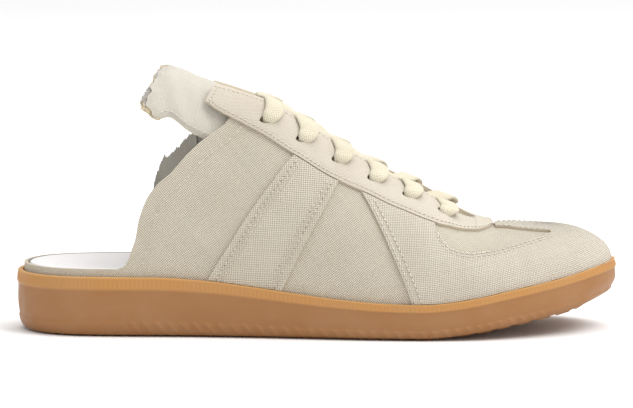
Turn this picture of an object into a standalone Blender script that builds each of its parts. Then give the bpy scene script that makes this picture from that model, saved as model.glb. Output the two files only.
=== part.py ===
"""A right trainer in undyed canvas with its heel cut away, on a moulded gum cupsole.

Metres, +Z up. The toe points along +X, the outer side of the foot along -Y. The origin is under the middle of the
shoe, on the floor that it stands on. Tables hold shares: "at" is the share of the sole's length from heel to toe.
"""

import math
from collections import namedtuple

import bmesh
import bpy
from mathutils import Matrix, Vector
from mathutils.kdtree import KDTree

# Sizes of the cupsole
SOLE_LENGTH = 0.288
SOLE_WIDTH = 0.104
HEEL_STACK = 0.0288
TOE_SPRING = 0.0146
RIM_WALL = 0.0030
CUP_DEPTH = 0.0050
TREAD_HEIGHT = 0.0010
TREAD_BORDER = 0.0040
SIDE_TUCK = 0.0030
HEEL_TUCK = 0.0055
TOE_TUCK = 0.0090
BAND_STEP = 0.0004
RIB_RELIEF = 0.0006
RIB_PITCH = 0.0072
LUG_PITCH = 0.0094
LUG_GROOVE = 0.0032

# Sizes of the upper, from the last
INSTEP_HEIGHT = 0.1150
UPPER_WALL = 0.0016
HEEL_BAND = 0.0035
THROAT_WIDTH = 0.0360
PANEL_THICKNESS = 0.0008
EYESTAY_THICKNESS = 0.0013
TONGUE_WIDTH = 0.0800
TONGUE_THICKNESS = 0.0040
TONGUE_PRESS = 0.0045

# Sizes of the insole
INSOLE_THICKNESS = 0.0044
INSOLE_HEEL_EXTRA = 0.0019
INSOLE_EDGE_LIFT = 0.0017
INSOLE_EDGE_WIDTH = 0.0130

# Sizes of the lacing
EYELET_ROWS = 6
EYELET_INSET = 0.0117
LACE_WIDTH = 0.0080
LACE_THICKNESS = 0.0026

# Pieces that touch keep this much air between them.
GAP = 0.0005

# Points nearer than this are one point.
SAME_POINT = 0.000002

# The outline of the sole from above: y of its outer and inner side, as shares of half the sole's width
Plan = namedtuple("Plan", "at lateral medial")
OUTLINE = [
    Plan(0.000, 0.000, 0.000),
    Plan(0.015, 0.325, 0.325),
    Plan(0.050, 0.545, 0.545),
    Plan(0.100, 0.660, 0.655),
    Plan(0.160, 0.700, 0.695),
    Plan(0.260, 0.722, 0.690),
    Plan(0.380, 0.785, 0.665),
    Plan(0.500, 0.885, 0.710),
    Plan(0.600, 0.970, 0.830),
    Plan(0.680, 1.000, 0.935),
    Plan(0.755, 0.972, 1.000),
    Plan(0.820, 0.880, 0.980),
    Plan(0.890, 0.705, 0.880),
    Plan(0.945, 0.480, 0.695),
    Plan(0.985, 0.190, 0.440),
    Plan(1.000, -0.115, 0.115),
]

# The sole from the side: lift off the floor as a share of the toe spring, wall height as a share of the heel's
Side = namedtuple("Side", "at lift wall")
SOLE_SIDE = [
    Side(0.00, 0.00, 1.000),
    Side(0.22, 0.00, 1.000),
    Side(0.31, 0.00, 0.955),
    Side(0.39, 0.00, 0.864),
    Side(0.47, 0.00, 0.755),
    Side(0.55, 0.00, 0.663),
    Side(0.62, 0.00, 0.615),
    Side(0.68, 0.00, 0.605),
    Side(0.72, 0.06, 0.608),
    Side(0.77, 0.19, 0.618),
    Side(0.82, 0.37, 0.625),
    Side(0.87, 0.55, 0.622),
    Side(0.92, 0.73, 0.625),
    Side(0.96, 0.88, 0.634),
    Side(1.00, 1.00, 0.645),
]

# The sole's wall from its lower edge up: tuck inwards as a share of the tuck at that place, ribs and steps as shares
Wall = namedtuple("Wall", "up tuck step rib slant")
SOLE_WALL = [
    Wall(0.000, 1.00, 0.0, 0.3, 0),
    Wall(0.070, 0.58, 0.0, 1.0, 0),
    Wall(0.190, 0.28, 0.0, 1.0, 1),
    Wall(0.260, 0.20, 1.0, 0.0, 0),
    Wall(0.500, 0.00, 1.0, 0.0, 0),
    Wall(0.770, 0.03, 1.0, 0.0, 0),
    Wall(0.800, 0.03, 0.0, 0.0, 0),
    Wall(0.970, 0.12, 0.0, 0.0, 0),
]

# The last: ridge height as a share of the instep's, its y as a share of half the sole's width, section fullness
Last = namedtuple("Last", "at ridge centre fullness")
LAST = [
    Last(0.000, 1.170, 0.00, 2.2),
    Last(0.250, 1.122, 0.00, 2.2),
    Last(0.320, 1.062, 0.00, 2.2),
    Last(0.380, 1.022, 0.01, 2.25),
    Last(0.410, 1.000, 0.01, 2.3),
    Last(0.468, 0.922, 0.02, 2.3),
    Last(0.522, 0.829, 0.03, 2.3),
    Last(0.578, 0.733, 0.04, 2.3),
    Last(0.622, 0.661, 0.05, 2.3),
    Last(0.677, 0.584, 0.06, 2.3),
    Last(0.705, 0.536, 0.07, 2.3),
    Last(0.735, 0.480, 0.07, 2.3),
    Last(0.765, 0.447, 0.08, 2.3),
    Last(0.800, 0.430, 0.08, 2.25),
    Last(0.870, 0.426, 0.09, 2.1),
    Last(1.000, 0.426, 0.09, 2.0),
]
RIDGE_TURNS_AT = 0.700
RIDGE_ENDS_AT = 0.870
RIDGE_JOINS_AT = 0.972

# The cut through the quarters, as shares of the way up from the heel band to the ridge
Cut = namedtuple("Cut", "at rise")
CUT = [
    Cut(0.000, 0.000),
    Cut(0.166, 0.000),
    Cut(0.179, 0.013),
    Cut(0.187, 0.043),
    Cut(0.193, 0.096),
    Cut(0.199, 0.145),
    Cut(0.205, 0.241),
    Cut(0.220, 0.355),
    Cut(0.236, 0.419),
    Cut(0.260, 0.489),
    Cut(0.286, 0.596),
    Cut(0.311, 0.684),
    Cut(0.346, 0.789),
    Cut(0.353, 0.822),
    Cut(0.380, 0.930),
    Cut(0.400, 1.000),
]

# The throat: half its opening as a share of half the throat's width, and the eyestay's outer edge in the same share
Throat = namedtuple("Throat", "at edge eyestay")
THROAT = [
    Throat(0.300, 0.66, 1.18),
    Throat(0.314, 0.67, 1.28),
    Throat(0.338, 0.68, 1.48),
    Throat(0.371, 0.74, 1.68),
    Throat(0.410, 0.83, 1.92),
    Throat(0.459, 0.93, 2.13),
    Throat(0.520, 0.98, 2.23),
    Throat(0.600, 0.96, 2.17),
    Throat(0.660, 0.90, 2.17),
    Throat(0.700, 0.79, 2.07),
    Throat(0.722, 0.69, 1.83),
    Throat(0.755, 0.42, 1.49),
    Throat(0.765, 0.22, 1.39),
    Throat(0.769, 0.00, 1.35),
    Throat(0.785, 0.00, 1.04),
    Throat(0.800, 0.00, 0.49),
    Throat(0.806, 0.00, 0.00),
]
THROAT_FRONT = 0.769
EYESTAY_FRONT = 0.806
EYESTAY_REAR_LOW = 0.3137
EYESTAY_REAR_HIGH = 0.3290

# Eyelet rows, from the first above the toe to the last
FIRST_EYELET_AT = 0.7056
LAST_EYELET_AT = 0.4148

# Seams from the sole, up = 0, to the eyestay, up = 1: both edges of the side band and the rear edge of the toe guard
Seam = namedtuple("Seam", "up rear front guard")
SEAMS = [
    Seam(0.00, 0.3175, 0.4406, 0.6570),
    Seam(0.25, 0.3560, 0.4650, 0.6432),
    Seam(0.50, 0.3918, 0.4896, 0.6257),
    Seam(0.75, 0.4273, 0.5124, 0.6040),
    Seam(0.90, 0.4462, 0.5251, 0.5869),
    Seam(1.00, 0.4600, 0.5337, 0.5721),
]

# The window that the toe guard leaves between its lower edge and its stem, as shares of the way up to the ridge
Window = namedtuple("Window", "at low high")
WINDOW = [
    Window(0.693, 0.732, 0.990),
    Window(0.701, 0.700, 0.990),
    Window(0.710, 0.645, 0.990),
    Window(0.722, 0.621, 0.990),
    Window(0.740, 0.620, 0.990),
    Window(0.780, 0.666, 0.990),
    Window(0.810, 0.702, 0.986),
    Window(0.850, 0.760, 0.965),
    Window(0.890, 0.818, 0.939),
    Window(0.928, 0.880, 0.914),
]
WINDOW_REAR = 0.693
WINDOW_FRONT = 0.928
STEM_REAR = 0.8085

# The tongue: half its width as a share, and how far it is pressed down under the laces as a share
Tongue = namedtuple("Tongue", "at half press")
TONGUE = [
    Tongue(0.210, 0.93, 0.00),
    Tongue(0.235, 0.93, 0.00),
    Tongue(0.254, 0.88, 0.00),
    Tongue(0.289, 0.99, 0.00),
    Tongue(0.360, 1.05, 0.30),
    Tongue(0.420, 1.02, 1.00),
    Tongue(0.680, 0.90, 1.00),
    Tongue(0.735, 0.70, 0.30),
    Tongue(0.760, 0.55, 0.15),
    Tongue(0.790, 0.36, 0.10),
]
TONGUE_FRONT = 0.790

# The torn end of the tongue, from the middle, out = 0, to its side, out = 1
Torn = namedtuple("Torn", "out at")
TORN_END = [
    Torn(0.00, 0.2560),
    Torn(0.10, 0.2526),
    Torn(0.23, 0.2420),
    Torn(0.50, 0.2290),
    Torn(0.83, 0.2180),
    Torn(1.00, 0.2335),
]


def read(table, column, at, key=None):
    """The value of a table's column at this share of the length, on a smooth curve that doesn't overshoot its rows."""
    places = [key(row[0]) if key else row[0] for row in table]
    values = [getattr(row, column) for row in table]
    place = min(max(key(at) if key else at, places[0]), places[-1])
    i = 0
    while i < len(places) - 2 and place > places[i + 1]:
        i += 1
    steps = [(values[k + 1] - values[k]) / (places[k + 1] - places[k]) for k in range(len(places) - 1)]

    def slope(k):
        if k == 0:
            return steps[0]
        if k == len(places) - 1:
            return steps[-1]
        before, after = steps[k - 1], steps[k]
        return 0.0 if before * after <= 0 else 2 * before * after / (before + after)

    span = places[i + 1] - places[i]
    t = (place - places[i]) / span
    start, end = values[i], values[i + 1]
    leave, arrive = slope(i) * span, slope(i + 1) * span
    return (
        (2 * t**3 - 3 * t**2 + 1) * start
        + (t**3 - 2 * t**2 + t) * leave
        + (3 * t**2 - 2 * t**3) * end
        + (t**3 - t**2) * arrive
    )


def turn(at):
    """Where a share of the length lies on a half turn from heel to toe, which rounds both ends of the outline."""
    return math.acos(1 - 2 * min(max(at, 0.0), 1.0)) / math.pi


def share_of(x):
    return x / SOLE_LENGTH + 0.5


def x_of(at):
    return (at - 0.5) * SOLE_LENGTH


def side_of(q):
    """Loop place q runs 0 to 1 along the outer side, heel to toe, and 1 to 2 back along the inner side."""
    q %= 2.0
    return ("lateral", q) if q <= 1 else ("medial", 2 - q)


def station(q):
    return (1 - math.cos(math.pi * side_of(q)[1])) / 2


def outline(q, inset=0.0):
    """The sole's outline at loop place q, moved inwards by inset."""

    def bare(place):
        column, t = side_of(place)
        at = (1 - math.cos(math.pi * t)) / 2
        share = read(OUTLINE, column, at, turn)
        return Vector((x_of(at), (share if column == "medial" else -share) * SOLE_WIDTH / 2))

    small = 0.004
    along = (bare(q + small) - bare(q - small)).normalized()
    return bare(q) + Vector((-along.y, along.x)) * inset


def sole_lift(x):
    return read(SOLE_SIDE, "lift", share_of(x)) * TOE_SPRING


def sole_top(x):
    return sole_lift(x) + read(SOLE_SIDE, "wall", share_of(x)) * HEEL_STACK


def cup_floor(x):
    return sole_top(x) - CUP_DEPTH


def ridge_station(at):
    """Sections are square to the shoe up to the toe box, and from there they fan out from the end of the ridge."""
    if at <= RIDGE_TURNS_AT:
        return at
    t = min(at, RIDGE_JOINS_AT) - RIDGE_TURNS_AT
    t /= RIDGE_JOINS_AT - RIDGE_TURNS_AT
    kept = (RIDGE_ENDS_AT - RIDGE_TURNS_AT) / (RIDGE_JOINS_AT - RIDGE_TURNS_AT)
    return RIDGE_TURNS_AT + (RIDGE_JOINS_AT - RIDGE_TURNS_AT) * kept * (1 - (1 - t) ** (1 / kept))


def section(q):
    """(foot of the wall, ridge point, fullness) of the upper's outer face at loop place q."""
    at = station(q)
    foot = outline(q, RIM_WALL + GAP)
    ridge_at = ridge_station(at)
    ridge = Vector(
        (
            x_of(ridge_at),
            read(LAST, "centre", ridge_at) * SOLE_WIDTH / 2,
            read(LAST, "ridge", ridge_at) * INSTEP_HEIGHT,
        )
    )
    return Vector((foot.x, foot.y, sole_top(foot.x))), ridge, read(LAST, "fullness", at)


def swell(v, fullness):
    """(share of the way out, share of the way up) on a section, v running 0 to 1 from the wall's foot to the ridge."""
    c, s = math.cos(v * math.pi / 2), math.sin(v * math.pi / 2)
    c = max(c, 0.0)
    size = (c**fullness + s**fullness) ** (-1 / fullness)
    return size * c, size * s


def last_point(q, v):
    """The upper's outer face. Below v = 0 it is the straight skirt that stands in the cup of the sole."""
    foot, ridge, fullness = section(q)
    if v <= 0:
        return Vector((foot.x, foot.y, foot.z + v * (CUP_DEPTH - GAP)))
    out, up = swell(v, fullness)
    return Vector(
        (
            ridge.x + (foot.x - ridge.x) * out,
            ridge.y + (foot.y - ridge.y) * out,
            foot.z + (ridge.z - foot.z) * up,
        )
    )


def last_normal(q, v):
    small = 0.004
    if v > 1 - small:
        at = ridge_station(station(q))
        run = 2 * small * SOLE_LENGTH
        rise = (read(LAST, "ridge", at + small) - read(LAST, "ridge", at - small)) * INSTEP_HEIGHT
        return Vector((-rise, 0, run)).normalized()
    v = max(v, small)
    along = last_point(q + small, v) - last_point(q - small, v)
    upward = last_point(q, v + small) - last_point(q, v - small)
    return along.cross(upward).normalized()


def find(share, wanted):
    """The v between 0 and 1 at which a rising or falling share of v passes the wanted value."""
    low, high = 0.0, 1.0
    rising = share(1.0) > share(0.0)
    for _ in range(20):
        middle = (low + high) / 2
        if (share(middle) < wanted) == rising:
            low = middle
        else:
            high = middle
    return (low + high) / 2


def v_at_height(q, height):
    foot, ridge, fullness = section(q)
    return find(lambda v: swell(v, fullness)[1], (height - foot.z) / (ridge.z - foot.z))


def girth(q, v):
    """The way over the surface from the ridge down to this v."""
    foot, ridge, fullness = section(q)
    width = (foot - ridge).xy.length
    height = ridge.z - foot.z
    steps = 10
    length = 0.0
    before = swell(1.0, fullness)
    for k in range(1, steps + 1):
        here = swell(1.0 - (1.0 - v) * k / steps, fullness)
        length += math.hypot((here[0] - before[0]) * width, (here[1] - before[1]) * height)
        before = here
    return length


def v_at_girth(q, length):
    return find(lambda v: girth(q, v), length) if length > 0 else 1.0


def throat_girth(at, column):
    return read(THROAT, column, at) * THROAT_WIDTH / 2


def v_at_rise(q, rise):
    return find(lambda v: swell(v, section(q)[2])[1], min(rise, 1.0))


def panel_bottom(q):
    """The v of a panel's lower edge, which stays clear of the sole's rim."""
    foot, _, _ = section(q)
    return v_at_height(q, foot.z + 1.5 * GAP)


def panel_top(q):
    """The v of a panel's upper edge, which stays clear of the eyestay."""
    at = station(q)
    return v_at_girth(q, throat_girth(at, "eyestay") + GAP)


def upper_top(q):
    """The v at which the upper ends: the cut through the quarter, the throat's edge or, past the throat, the ridge."""
    at = station(q)
    if at >= THROAT_FRONT:
        return 1.0
    foot, ridge, _ = section(q)
    bottom = foot.z + HEEL_BAND
    cut = v_at_height(q, bottom + read(CUT, "rise", at) * (ridge.z - bottom))
    return min(cut, v_at_girth(q, throat_girth(at, "edge")))


def spread(start, end, count):
    return [start + (end - start) * i / count for i in range(count)]


def mesh_object(name, points, faces, material):
    mesh = bpy.data.meshes.new(name)
    mesh.from_pydata([tuple(p) for p in points], [], faces)
    bm = bmesh.new()
    bm.from_mesh(mesh)
    bmesh.ops.remove_doubles(bm, verts=bm.verts, dist=SAME_POINT)
    bmesh.ops.dissolve_degenerate(bm, edges=bm.edges, dist=SAME_POINT)
    bmesh.ops.recalc_face_normals(bm, faces=bm.faces)
    bm.to_mesh(mesh)
    bm.free()
    obj = bpy.data.objects.new(name, mesh)
    bpy.context.scene.collection.objects.link(obj)
    mesh.shade_smooth()
    mesh.set_sharp_from_angle(angle=math.radians(35))
    mesh.materials.append(material)
    return obj


def skin(name, patch, low, high, material):
    """A closed sheet from an open patch of (points, normals, faces), between two distances along the normals."""
    points, normals, faces = patch
    used = sorted({i for face in faces for i in face})
    tree = KDTree(len(used))
    for i in used:
        tree.insert(points[i], i)
    tree.balance()
    firsts = {i: min(found[1] for found in tree.find_range(points[i], SAME_POINT)) for i in used}
    kept = sorted(set(firsts.values()))
    number = {first: k for k, first in enumerate(kept)}
    merged = []
    for face in faces:
        loop = []
        for i in face:
            if not loop or number[firsts[i]] != loop[-1]:
                loop.append(number[firsts[i]])
        if loop[0] == loop[-1]:
            loop.pop()
        if len(loop) > 2:
            merged.append(tuple(loop))
    edges = {edge for face in merged for edge in zip(face, face[1:] + face[:1])}
    n = len(kept)
    solid = list(merged)
    solid += [tuple(i + n for i in reversed(face)) for face in merged]
    solid += [(b, a, a + n, b + n) for a, b in edges if (b, a) not in edges]
    outer = [points[i] + normals[i] * high for i in kept]
    inner = [points[i] + normals[i] * low for i in kept]
    return mesh_object(name, outer + inner, solid, material)


def grid_faces(columns, rows, closed=False):
    faces = []
    for i in range(columns if closed else columns - 1):
        for j in range(rows - 1):
            a, b = i * rows + j, ((i + 1) % columns) * rows + j
            faces.append((a, b, b + 1, a + 1))
    return faces


def last_patch(places):
    """The points and normals of the last's face at columns of (q, v) places."""
    flat = [place for column in places for place in column]
    return (
        [last_point(q, v) for q, v in flat],
        [last_normal(q, v) for q, v in flat],
    )


def make_material(name, colour, roughness):
    material = bpy.data.materials.new(name)
    material.use_nodes = True
    shader = material.node_tree.nodes["Principled BSDF"]
    shader.inputs["Base Color"].default_value = (*colour, 1)
    shader.inputs["Roughness"].default_value = roughness
    shader.inputs["Metallic"].default_value = 0.0
    material.diffuse_color = (*colour, 1)
    return material


# The outsole

def sole_tuck(q):
    """How far the lower edge lies inside the outline: more at the heel's back and at the tip of the toe."""
    at = station(q)
    heel, toe = max(1 - at / 0.10, 0.0), max(1 - (1 - at) / 0.07, 0.0)
    return (
        SIDE_TUCK
        + (HEEL_TUCK - SIDE_TUCK) * heel * heel * (3 - 2 * heel)
        + (TOE_TUCK - SIDE_TUCK) * toe * toe * (3 - 2 * toe)
    )


def rib_phase(at, slant):
    """Plus or minus one on the ribs of the wall's lower band, which run along the side and stop short of both ends."""
    if not 0.19 < at < 0.82:
        return 0.0
    turns = (at * SOLE_LENGTH) / RIB_PITCH + slant * 0.5
    return math.cos(2 * math.pi * turns)


def sole_places():
    step = RIB_PITCH / 2 / SOLE_LENGTH
    ribbed = [k * step for k in range(math.ceil(0.19 / step), math.floor(0.82 / step) + 1)]
    heel = [(1 - math.cos(math.pi * t)) / 2 for t in spread(0, turn(ribbed[0]), 8)]
    toe = [(1 - math.cos(math.pi * t)) / 2 for t in spread(turn(ribbed[-1]), 1, 8)][1:]
    return heel + ribbed + toe + [1.0]


def ladder(ring):
    """Faces that fill a closed ring of 2n points, from side to side, with a point of the ring at each end."""
    n = len(ring) // 2
    faces = [(ring[0], ring[1], ring[-1])]
    for i in range(1, n - 1):
        faces.append((ring[i], ring[i + 1], ring[-i - 1], ring[-i]))
    faces.append((ring[n - 1], ring[n], ring[n + 1]))
    return faces


def sole_loop(places):
    turns = [turn(at) for at in places]
    return turns + [2 - t for t in reversed(turns[1:-1])]


def outsole(material):
    loop = sole_loop(sole_places())
    rings = []
    tread_inset = TREAD_BORDER
    for drop, inset in ((0.0, tread_inset), (TREAD_HEIGHT, tread_inset - TREAD_HEIGHT)):
        ring = []
        for q in loop:
            p = outline(q, sole_tuck(q) + inset)
            ring.append(Vector((p.x, p.y, sole_lift(p.x) + drop)))
        rings.append(ring)
    for wall in SOLE_WALL:
        ring = []
        for q in loop:
            at = station(q)
            inset = sole_tuck(q) * wall.tuck + BAND_STEP * wall.step
            inset -= RIB_RELIEF * wall.rib * rib_phase(at, wall.slant) / 2
            p = outline(q, inset)
            low = sole_lift(p.x) + TREAD_HEIGHT
            ring.append(Vector((p.x, p.y, low + (sole_top(p.x) - low) * wall.up)))
        rings.append(ring)
    for inset, height in ((RIM_WALL * 0.35, sole_top), (RIM_WALL, sole_top), (RIM_WALL, cup_floor)):
        ring = []
        for q in loop:
            p = outline(q, inset)
            ring.append(Vector((p.x, p.y, height(p.x))))
        rings.append(ring)
    n = len(loop)
    points = [p for ring in rings for p in ring]
    faces = [tuple(reversed(f)) for f in ladder(list(range(n)))]
    for r in range(len(rings) - 1):
        for i in range(n):
            a, b = r * n + i, r * n + (i + 1) % n
            faces.append((a, b, b + n, a + n))
    last = (len(rings) - 1) * n
    faces += ladder([last + i for i in range(n)])
    obj = mesh_object("outsole", points, faces, material)
    cut = obj.modifiers.new("tread_grooves", "BOOLEAN")
    cut.operation = "DIFFERENCE"
    cut.object = tread_cutter()
    return obj


def tread_cutter():
    """Bars across the sole's underside, which leave the lugs standing on the heel and under the ball."""
    bm = bmesh.new()
    first, last = 0.075, 0.93
    count = int((last - first) * SOLE_LENGTH / LUG_PITCH)
    for k in range(count + 1):
        at = first + k * LUG_PITCH / SOLE_LENGTH
        if 0.37 < at < 0.56:
            continue
        x = x_of(at)
        slope = math.atan2(sole_lift(x + LUG_PITCH / 2) - sole_lift(x - LUG_PITCH / 2), LUG_PITCH)
        depth = TREAD_HEIGHT * 0.9
        height = 4 * TREAD_HEIGHT
        place = Matrix.Translation((x, 0, sole_lift(x))) @ Matrix.Rotation(-slope, 4, "Y")
        place = place @ Matrix.Translation((0, 0, depth - height / 2))
        place = place @ Matrix.Diagonal((LUG_GROOVE, SOLE_WIDTH * 1.2, height, 1))
        bmesh.ops.create_cube(bm, size=1.0, matrix=place)
    mesh = bpy.data.meshes.new("tread_cutter")
    bm.to_mesh(mesh)
    bm.free()
    obj = bpy.data.objects.new("tread_cutter", mesh)
    bpy.context.scene.collection.objects.link(obj)
    obj.hide_render = True
    obj.display_type = "WIRE"
    return obj


# The insole

def insole(material):
    places = [(1 - math.cos(math.pi * t)) / 2 for t in spread(0, 1, 26)] + [1.0]
    loop = sole_loop(places)
    edge = RIM_WALL + UPPER_WALL + 3 * GAP
    rings = []
    for inset, level, lift in (
        (edge + 0.0008, 0.0, 0.0),
        (edge, 0.2, 0.0),
        (edge, 1.0, 0.8),
        (edge + 0.0012, 1.0, 1.0),
        (edge + INSOLE_EDGE_WIDTH * 0.45, 1.0, 0.35),
        (edge + INSOLE_EDGE_WIDTH, 1.0, 0.0),
    ):
        ring = []
        for q in loop:
            p = outline(q, inset)
            at = share_of(p.x)
            heel = min(max((0.62 - at) / 0.22, 0.0), 1.0)
            heel *= heel * (3 - 2 * heel)
            thickness = INSOLE_THICKNESS + INSOLE_HEEL_EXTRA * heel
            z = cup_floor(p.x) + GAP + thickness * level + INSOLE_EDGE_LIFT * heel * lift
            ring.append(Vector((p.x, p.y, z)))
        rings.append(ring)
    n = len(loop)
    points = [p for ring in rings for p in ring]
    faces = [tuple(reversed(f)) for f in ladder(list(range(n)))]
    for r in range(len(rings) - 1):
        for i in range(n):
            a, b = r * n + i, r * n + (i + 1) % n
            faces.append((a, b, b + n, a + n))
    last = (len(rings) - 1) * n
    faces += ladder([last + i for i in range(n)])
    return mesh_object("insole", points, faces, material)


# The upper and what is sewn on it

def upper_places():
    turned = [(1 - math.cos(math.pi * t)) / 2 for t in spread(0, turn(0.165), 7)]
    toe = [(1 - math.cos(math.pi * t)) / 2 for t in spread(turn(0.80), 1, 10)]
    return (
        turned
        + spread(0.165, 0.225, 8)
        + spread(0.225, 0.400, 7)
        + spread(0.400, 0.700, 7)
        + spread(0.700, THROAT_FRONT, 5)
        + spread(THROAT_FRONT, 0.80, 2)
        + toe
        + [1.0]
    )


def upper(material):
    rows = 8
    loop = sole_loop(upper_places())
    columns = []
    for q in loop:
        top = upper_top(q)
        columns.append([(q, -1.0)] + [(q, top * j / (rows - 2)) for j in range(rows - 1)])
    points, normals = last_patch(columns)
    return skin("upper", (points, normals, grid_faces(len(loop), rows, True)), -UPPER_WALL, 0.0, material)


def eyestay(material):
    """The facing round the throat, which ends at the back in two free tabs over the tongue."""
    rows = 4
    rear = spread(0, 1, 3)
    side = spread(EYESTAY_REAR_HIGH + 0.004, 0.700, 12) + spread(0.700, THROAT_FRONT, 5)
    front = spread(THROAT_FRONT, EYESTAY_FRONT, 5) + [EYESTAY_FRONT]

    def column(q, slant):
        at = station(q)
        cells = []
        for j in range(rows + 1):
            up = j / rows
            here = at + slant * (EYESTAY_REAR_HIGH - EYESTAY_REAR_LOW) * (up - 1)
            place = turn(here) if side_of(q)[0] == "lateral" else 2 - turn(here)
            low = v_at_girth(place, throat_girth(here, "eyestay"))
            high = 1.0 if here >= THROAT_FRONT else v_at_girth(place, throat_girth(here, "edge"))
            cells.append((place, low + (high - low) * up))
        return cells

    slants = [1 - t for t in rear] + [0.0] * (len(side) + len(front))
    places = [EYESTAY_REAR_HIGH + 0.004 * t for t in rear] + side + front
    lateral = [column(turn(at), slant) for at, slant in zip(places, slants)]
    medial = [column(2 - turn(at), slant) for at, slant in zip(places, slants)]
    columns = lateral + list(reversed(medial))
    points, normals = last_patch(columns)
    faces = grid_faces(len(columns), rows + 1)
    return skin("eyestay", (points, normals, faces), GAP, GAP + EYESTAY_THICKNESS, material)


def side_band(name, inner, material):
    """The slanting band from the eyestay to the sole, on the outer or the inner side."""
    columns = []
    for s in spread(0, 1, 5) + [1.0]:
        cells = []
        for up in spread(0, 1, 8) + [1.0]:
            rear, front = read(SEAMS, "rear", up), read(SEAMS, "front", up)
            at = rear + (front - rear) * s
            q = 2 - turn(at) if inner else turn(at)
            low, high = panel_bottom(q), panel_top(q)
            top = swell(high, section(q)[2])[1]
            cells.append((q, max(v_at_rise(q, top * up), low)))
        columns.append(cells)
    points, normals = last_patch(columns)
    return skin(name, (points, normals, grid_faces(6, 9)), GAP, GAP + PANEL_THICKNESS, material)


def toe_guard(material):
    """The panel round the toe, with a stem up the middle to the eyestay and a window on each side of it."""
    low_rows, stem_rows = 6, 2
    rear = spread(0, 1, 4)
    window = spread(WINDOW_REAR + 0.001, STEM_REAR, 7) + spread(STEM_REAR, WINDOW_FRONT, 6) + [WINDOW_FRONT]
    tip = [1 - (1 - WINDOW_FRONT) * (1 - t) ** 2 for t in spread(0, 1, 6)][1:] + [1.0]

    def rear_column(s, inner):
        cells = []
        for j in range(low_rows + 1):
            up = j / low_rows
            seam = read(SEAMS, "guard", up)
            at = seam + (WINDOW_REAR - seam) * s
            q = 2 - turn(at) if inner else turn(at)
            low, top = panel_bottom(q), swell(panel_top(q), section(q)[2])[1]
            cells.append((q, max(v_at_rise(q, top * up), low)))
        return cells + [(cells[-1][0], 1.0)] * (stem_rows + 1)

    def column(at, inner):
        q = 2 - turn(at) if inner else turn(at)
        low = panel_bottom(q)
        edge = min(v_at_rise(q, read(WINDOW, "low", at)), panel_top(q))
        stem = v_at_rise(q, read(WINDOW, "high", at))
        cells = [(q, low + (edge - low) * j / low_rows) for j in range(low_rows + 1)]
        return cells + [(q, stem + (1 - stem) * j / stem_rows) for j in range(stem_rows + 1)]

    places = [(None, s) for s in rear] + [(at, None) for at in [WINDOW_REAR] + window + tip]
    lateral = [rear_column(s, False) if at is None else column(at, False) for at, s in places]
    medial = [rear_column(s, True) if at is None else column(at, True) for at, s in places[:-1]]
    lateral[len(rear)] = rear_column(1.0, False)
    medial[len(rear)] = rear_column(1.0, True)
    columns = lateral + list(reversed(medial))
    rows = low_rows + stem_rows + 2
    faces = []
    for i in range(len(columns) - 1):
        at = (station(columns[i][0][0]) + station(columns[i + 1][0][0])) / 2
        for j in range(rows - 1):
            in_stem, in_window = j > low_rows, j == low_rows
            if (in_stem and at < STEM_REAR) or (in_window and at < WINDOW_FRONT):
                continue
            a, b = i * rows + j, (i + 1) * rows + j
            faces.append((a, b, b + 1, a + 1))
    points, normals = last_patch(columns)
    return skin("toe_guard", (points, normals, faces), GAP, GAP + PANEL_THICKNESS, material)


# The tongue

def tongue(material):
    """A padded sheet under the throat. It keeps below the upper, and is pressed down where the laces cross it."""
    points, normals = [], []
    across, along = 10, 16
    for i in range(across + 1):
        out = 2 * i / across - 1
        rear = read(TORN_END, "at", abs(out))
        for j in range(along + 1):
            at = rear + (TONGUE_FRONT - rear) * j / along
            q = turn(at) if out < 0 else 2 - turn(at)
            reach = abs(out) * read(TONGUE, "half", at) * TONGUE_WIDTH / 2
            v = v_at_girth(q, reach) if reach else 1.0
            normal = last_normal(q, v)
            depth = UPPER_WALL + GAP + TONGUE_PRESS * read(TONGUE, "press", at)
            points.append(last_point(q, v) - normal * depth)
            normals.append(normal)
    patch = (points, normals, grid_faces(across + 1, along + 1))
    return skin("tongue", patch, -TONGUE_THICKNESS, 0.0, material)


# The lacing

def eyelet_at(row):
    return FIRST_EYELET_AT + (LAST_EYELET_AT - FIRST_EYELET_AT) * row / (EYELET_ROWS - 1)


def lace_point(at, offset, level):
    """(point, normal) over the last: offset is the distance from the ridge, minus on the outer side."""
    q = turn(at) if offset < 0 else 2 - turn(at)
    v = v_at_girth(q, abs(offset)) if abs(offset) > 0.0001 else 1.0
    normal = last_normal(q, v)
    return last_point(q, v) + normal * level, normal


def lace_run(name, stops, material):
    """A flat lace through (at, offset, level) stops, with rounded edges."""
    placed = [lace_point(*stop) for stop in stops]
    ring = 6
    points = []
    for i, (centre, normal) in enumerate(placed):
        before, after = placed[max(i - 1, 0)][0], placed[min(i + 1, len(placed) - 1)][0]
        along = (after - before).normalized()
        side = along.cross(normal).normalized()
        up = side.cross(along).normalized()
        for k in range(ring):
            turned = 2 * math.pi * k / ring
            flat = side * (math.cos(turned) * LACE_WIDTH / 2) + up * (math.sin(turned) * LACE_THICKNESS / 2)
            points.append(centre + flat)
    faces = [tuple(reversed(range(ring)))]
    for i in range(len(placed) - 1):
        for k in range(ring):
            a, b = i * ring + k, i * ring + (k + 1) % ring
            faces.append((a, b, b + ring, a + ring))
    last = (len(placed) - 1) * ring
    faces.append(tuple(last + k for k in range(ring)))
    return mesh_object(name, points, faces, material)


def over_level():
    return GAP + EYESTAY_THICKNESS + GAP + LACE_THICKNESS / 2


def under_level():
    return -(UPPER_WALL + 1.5 * GAP + LACE_THICKNESS / 2)


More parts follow.
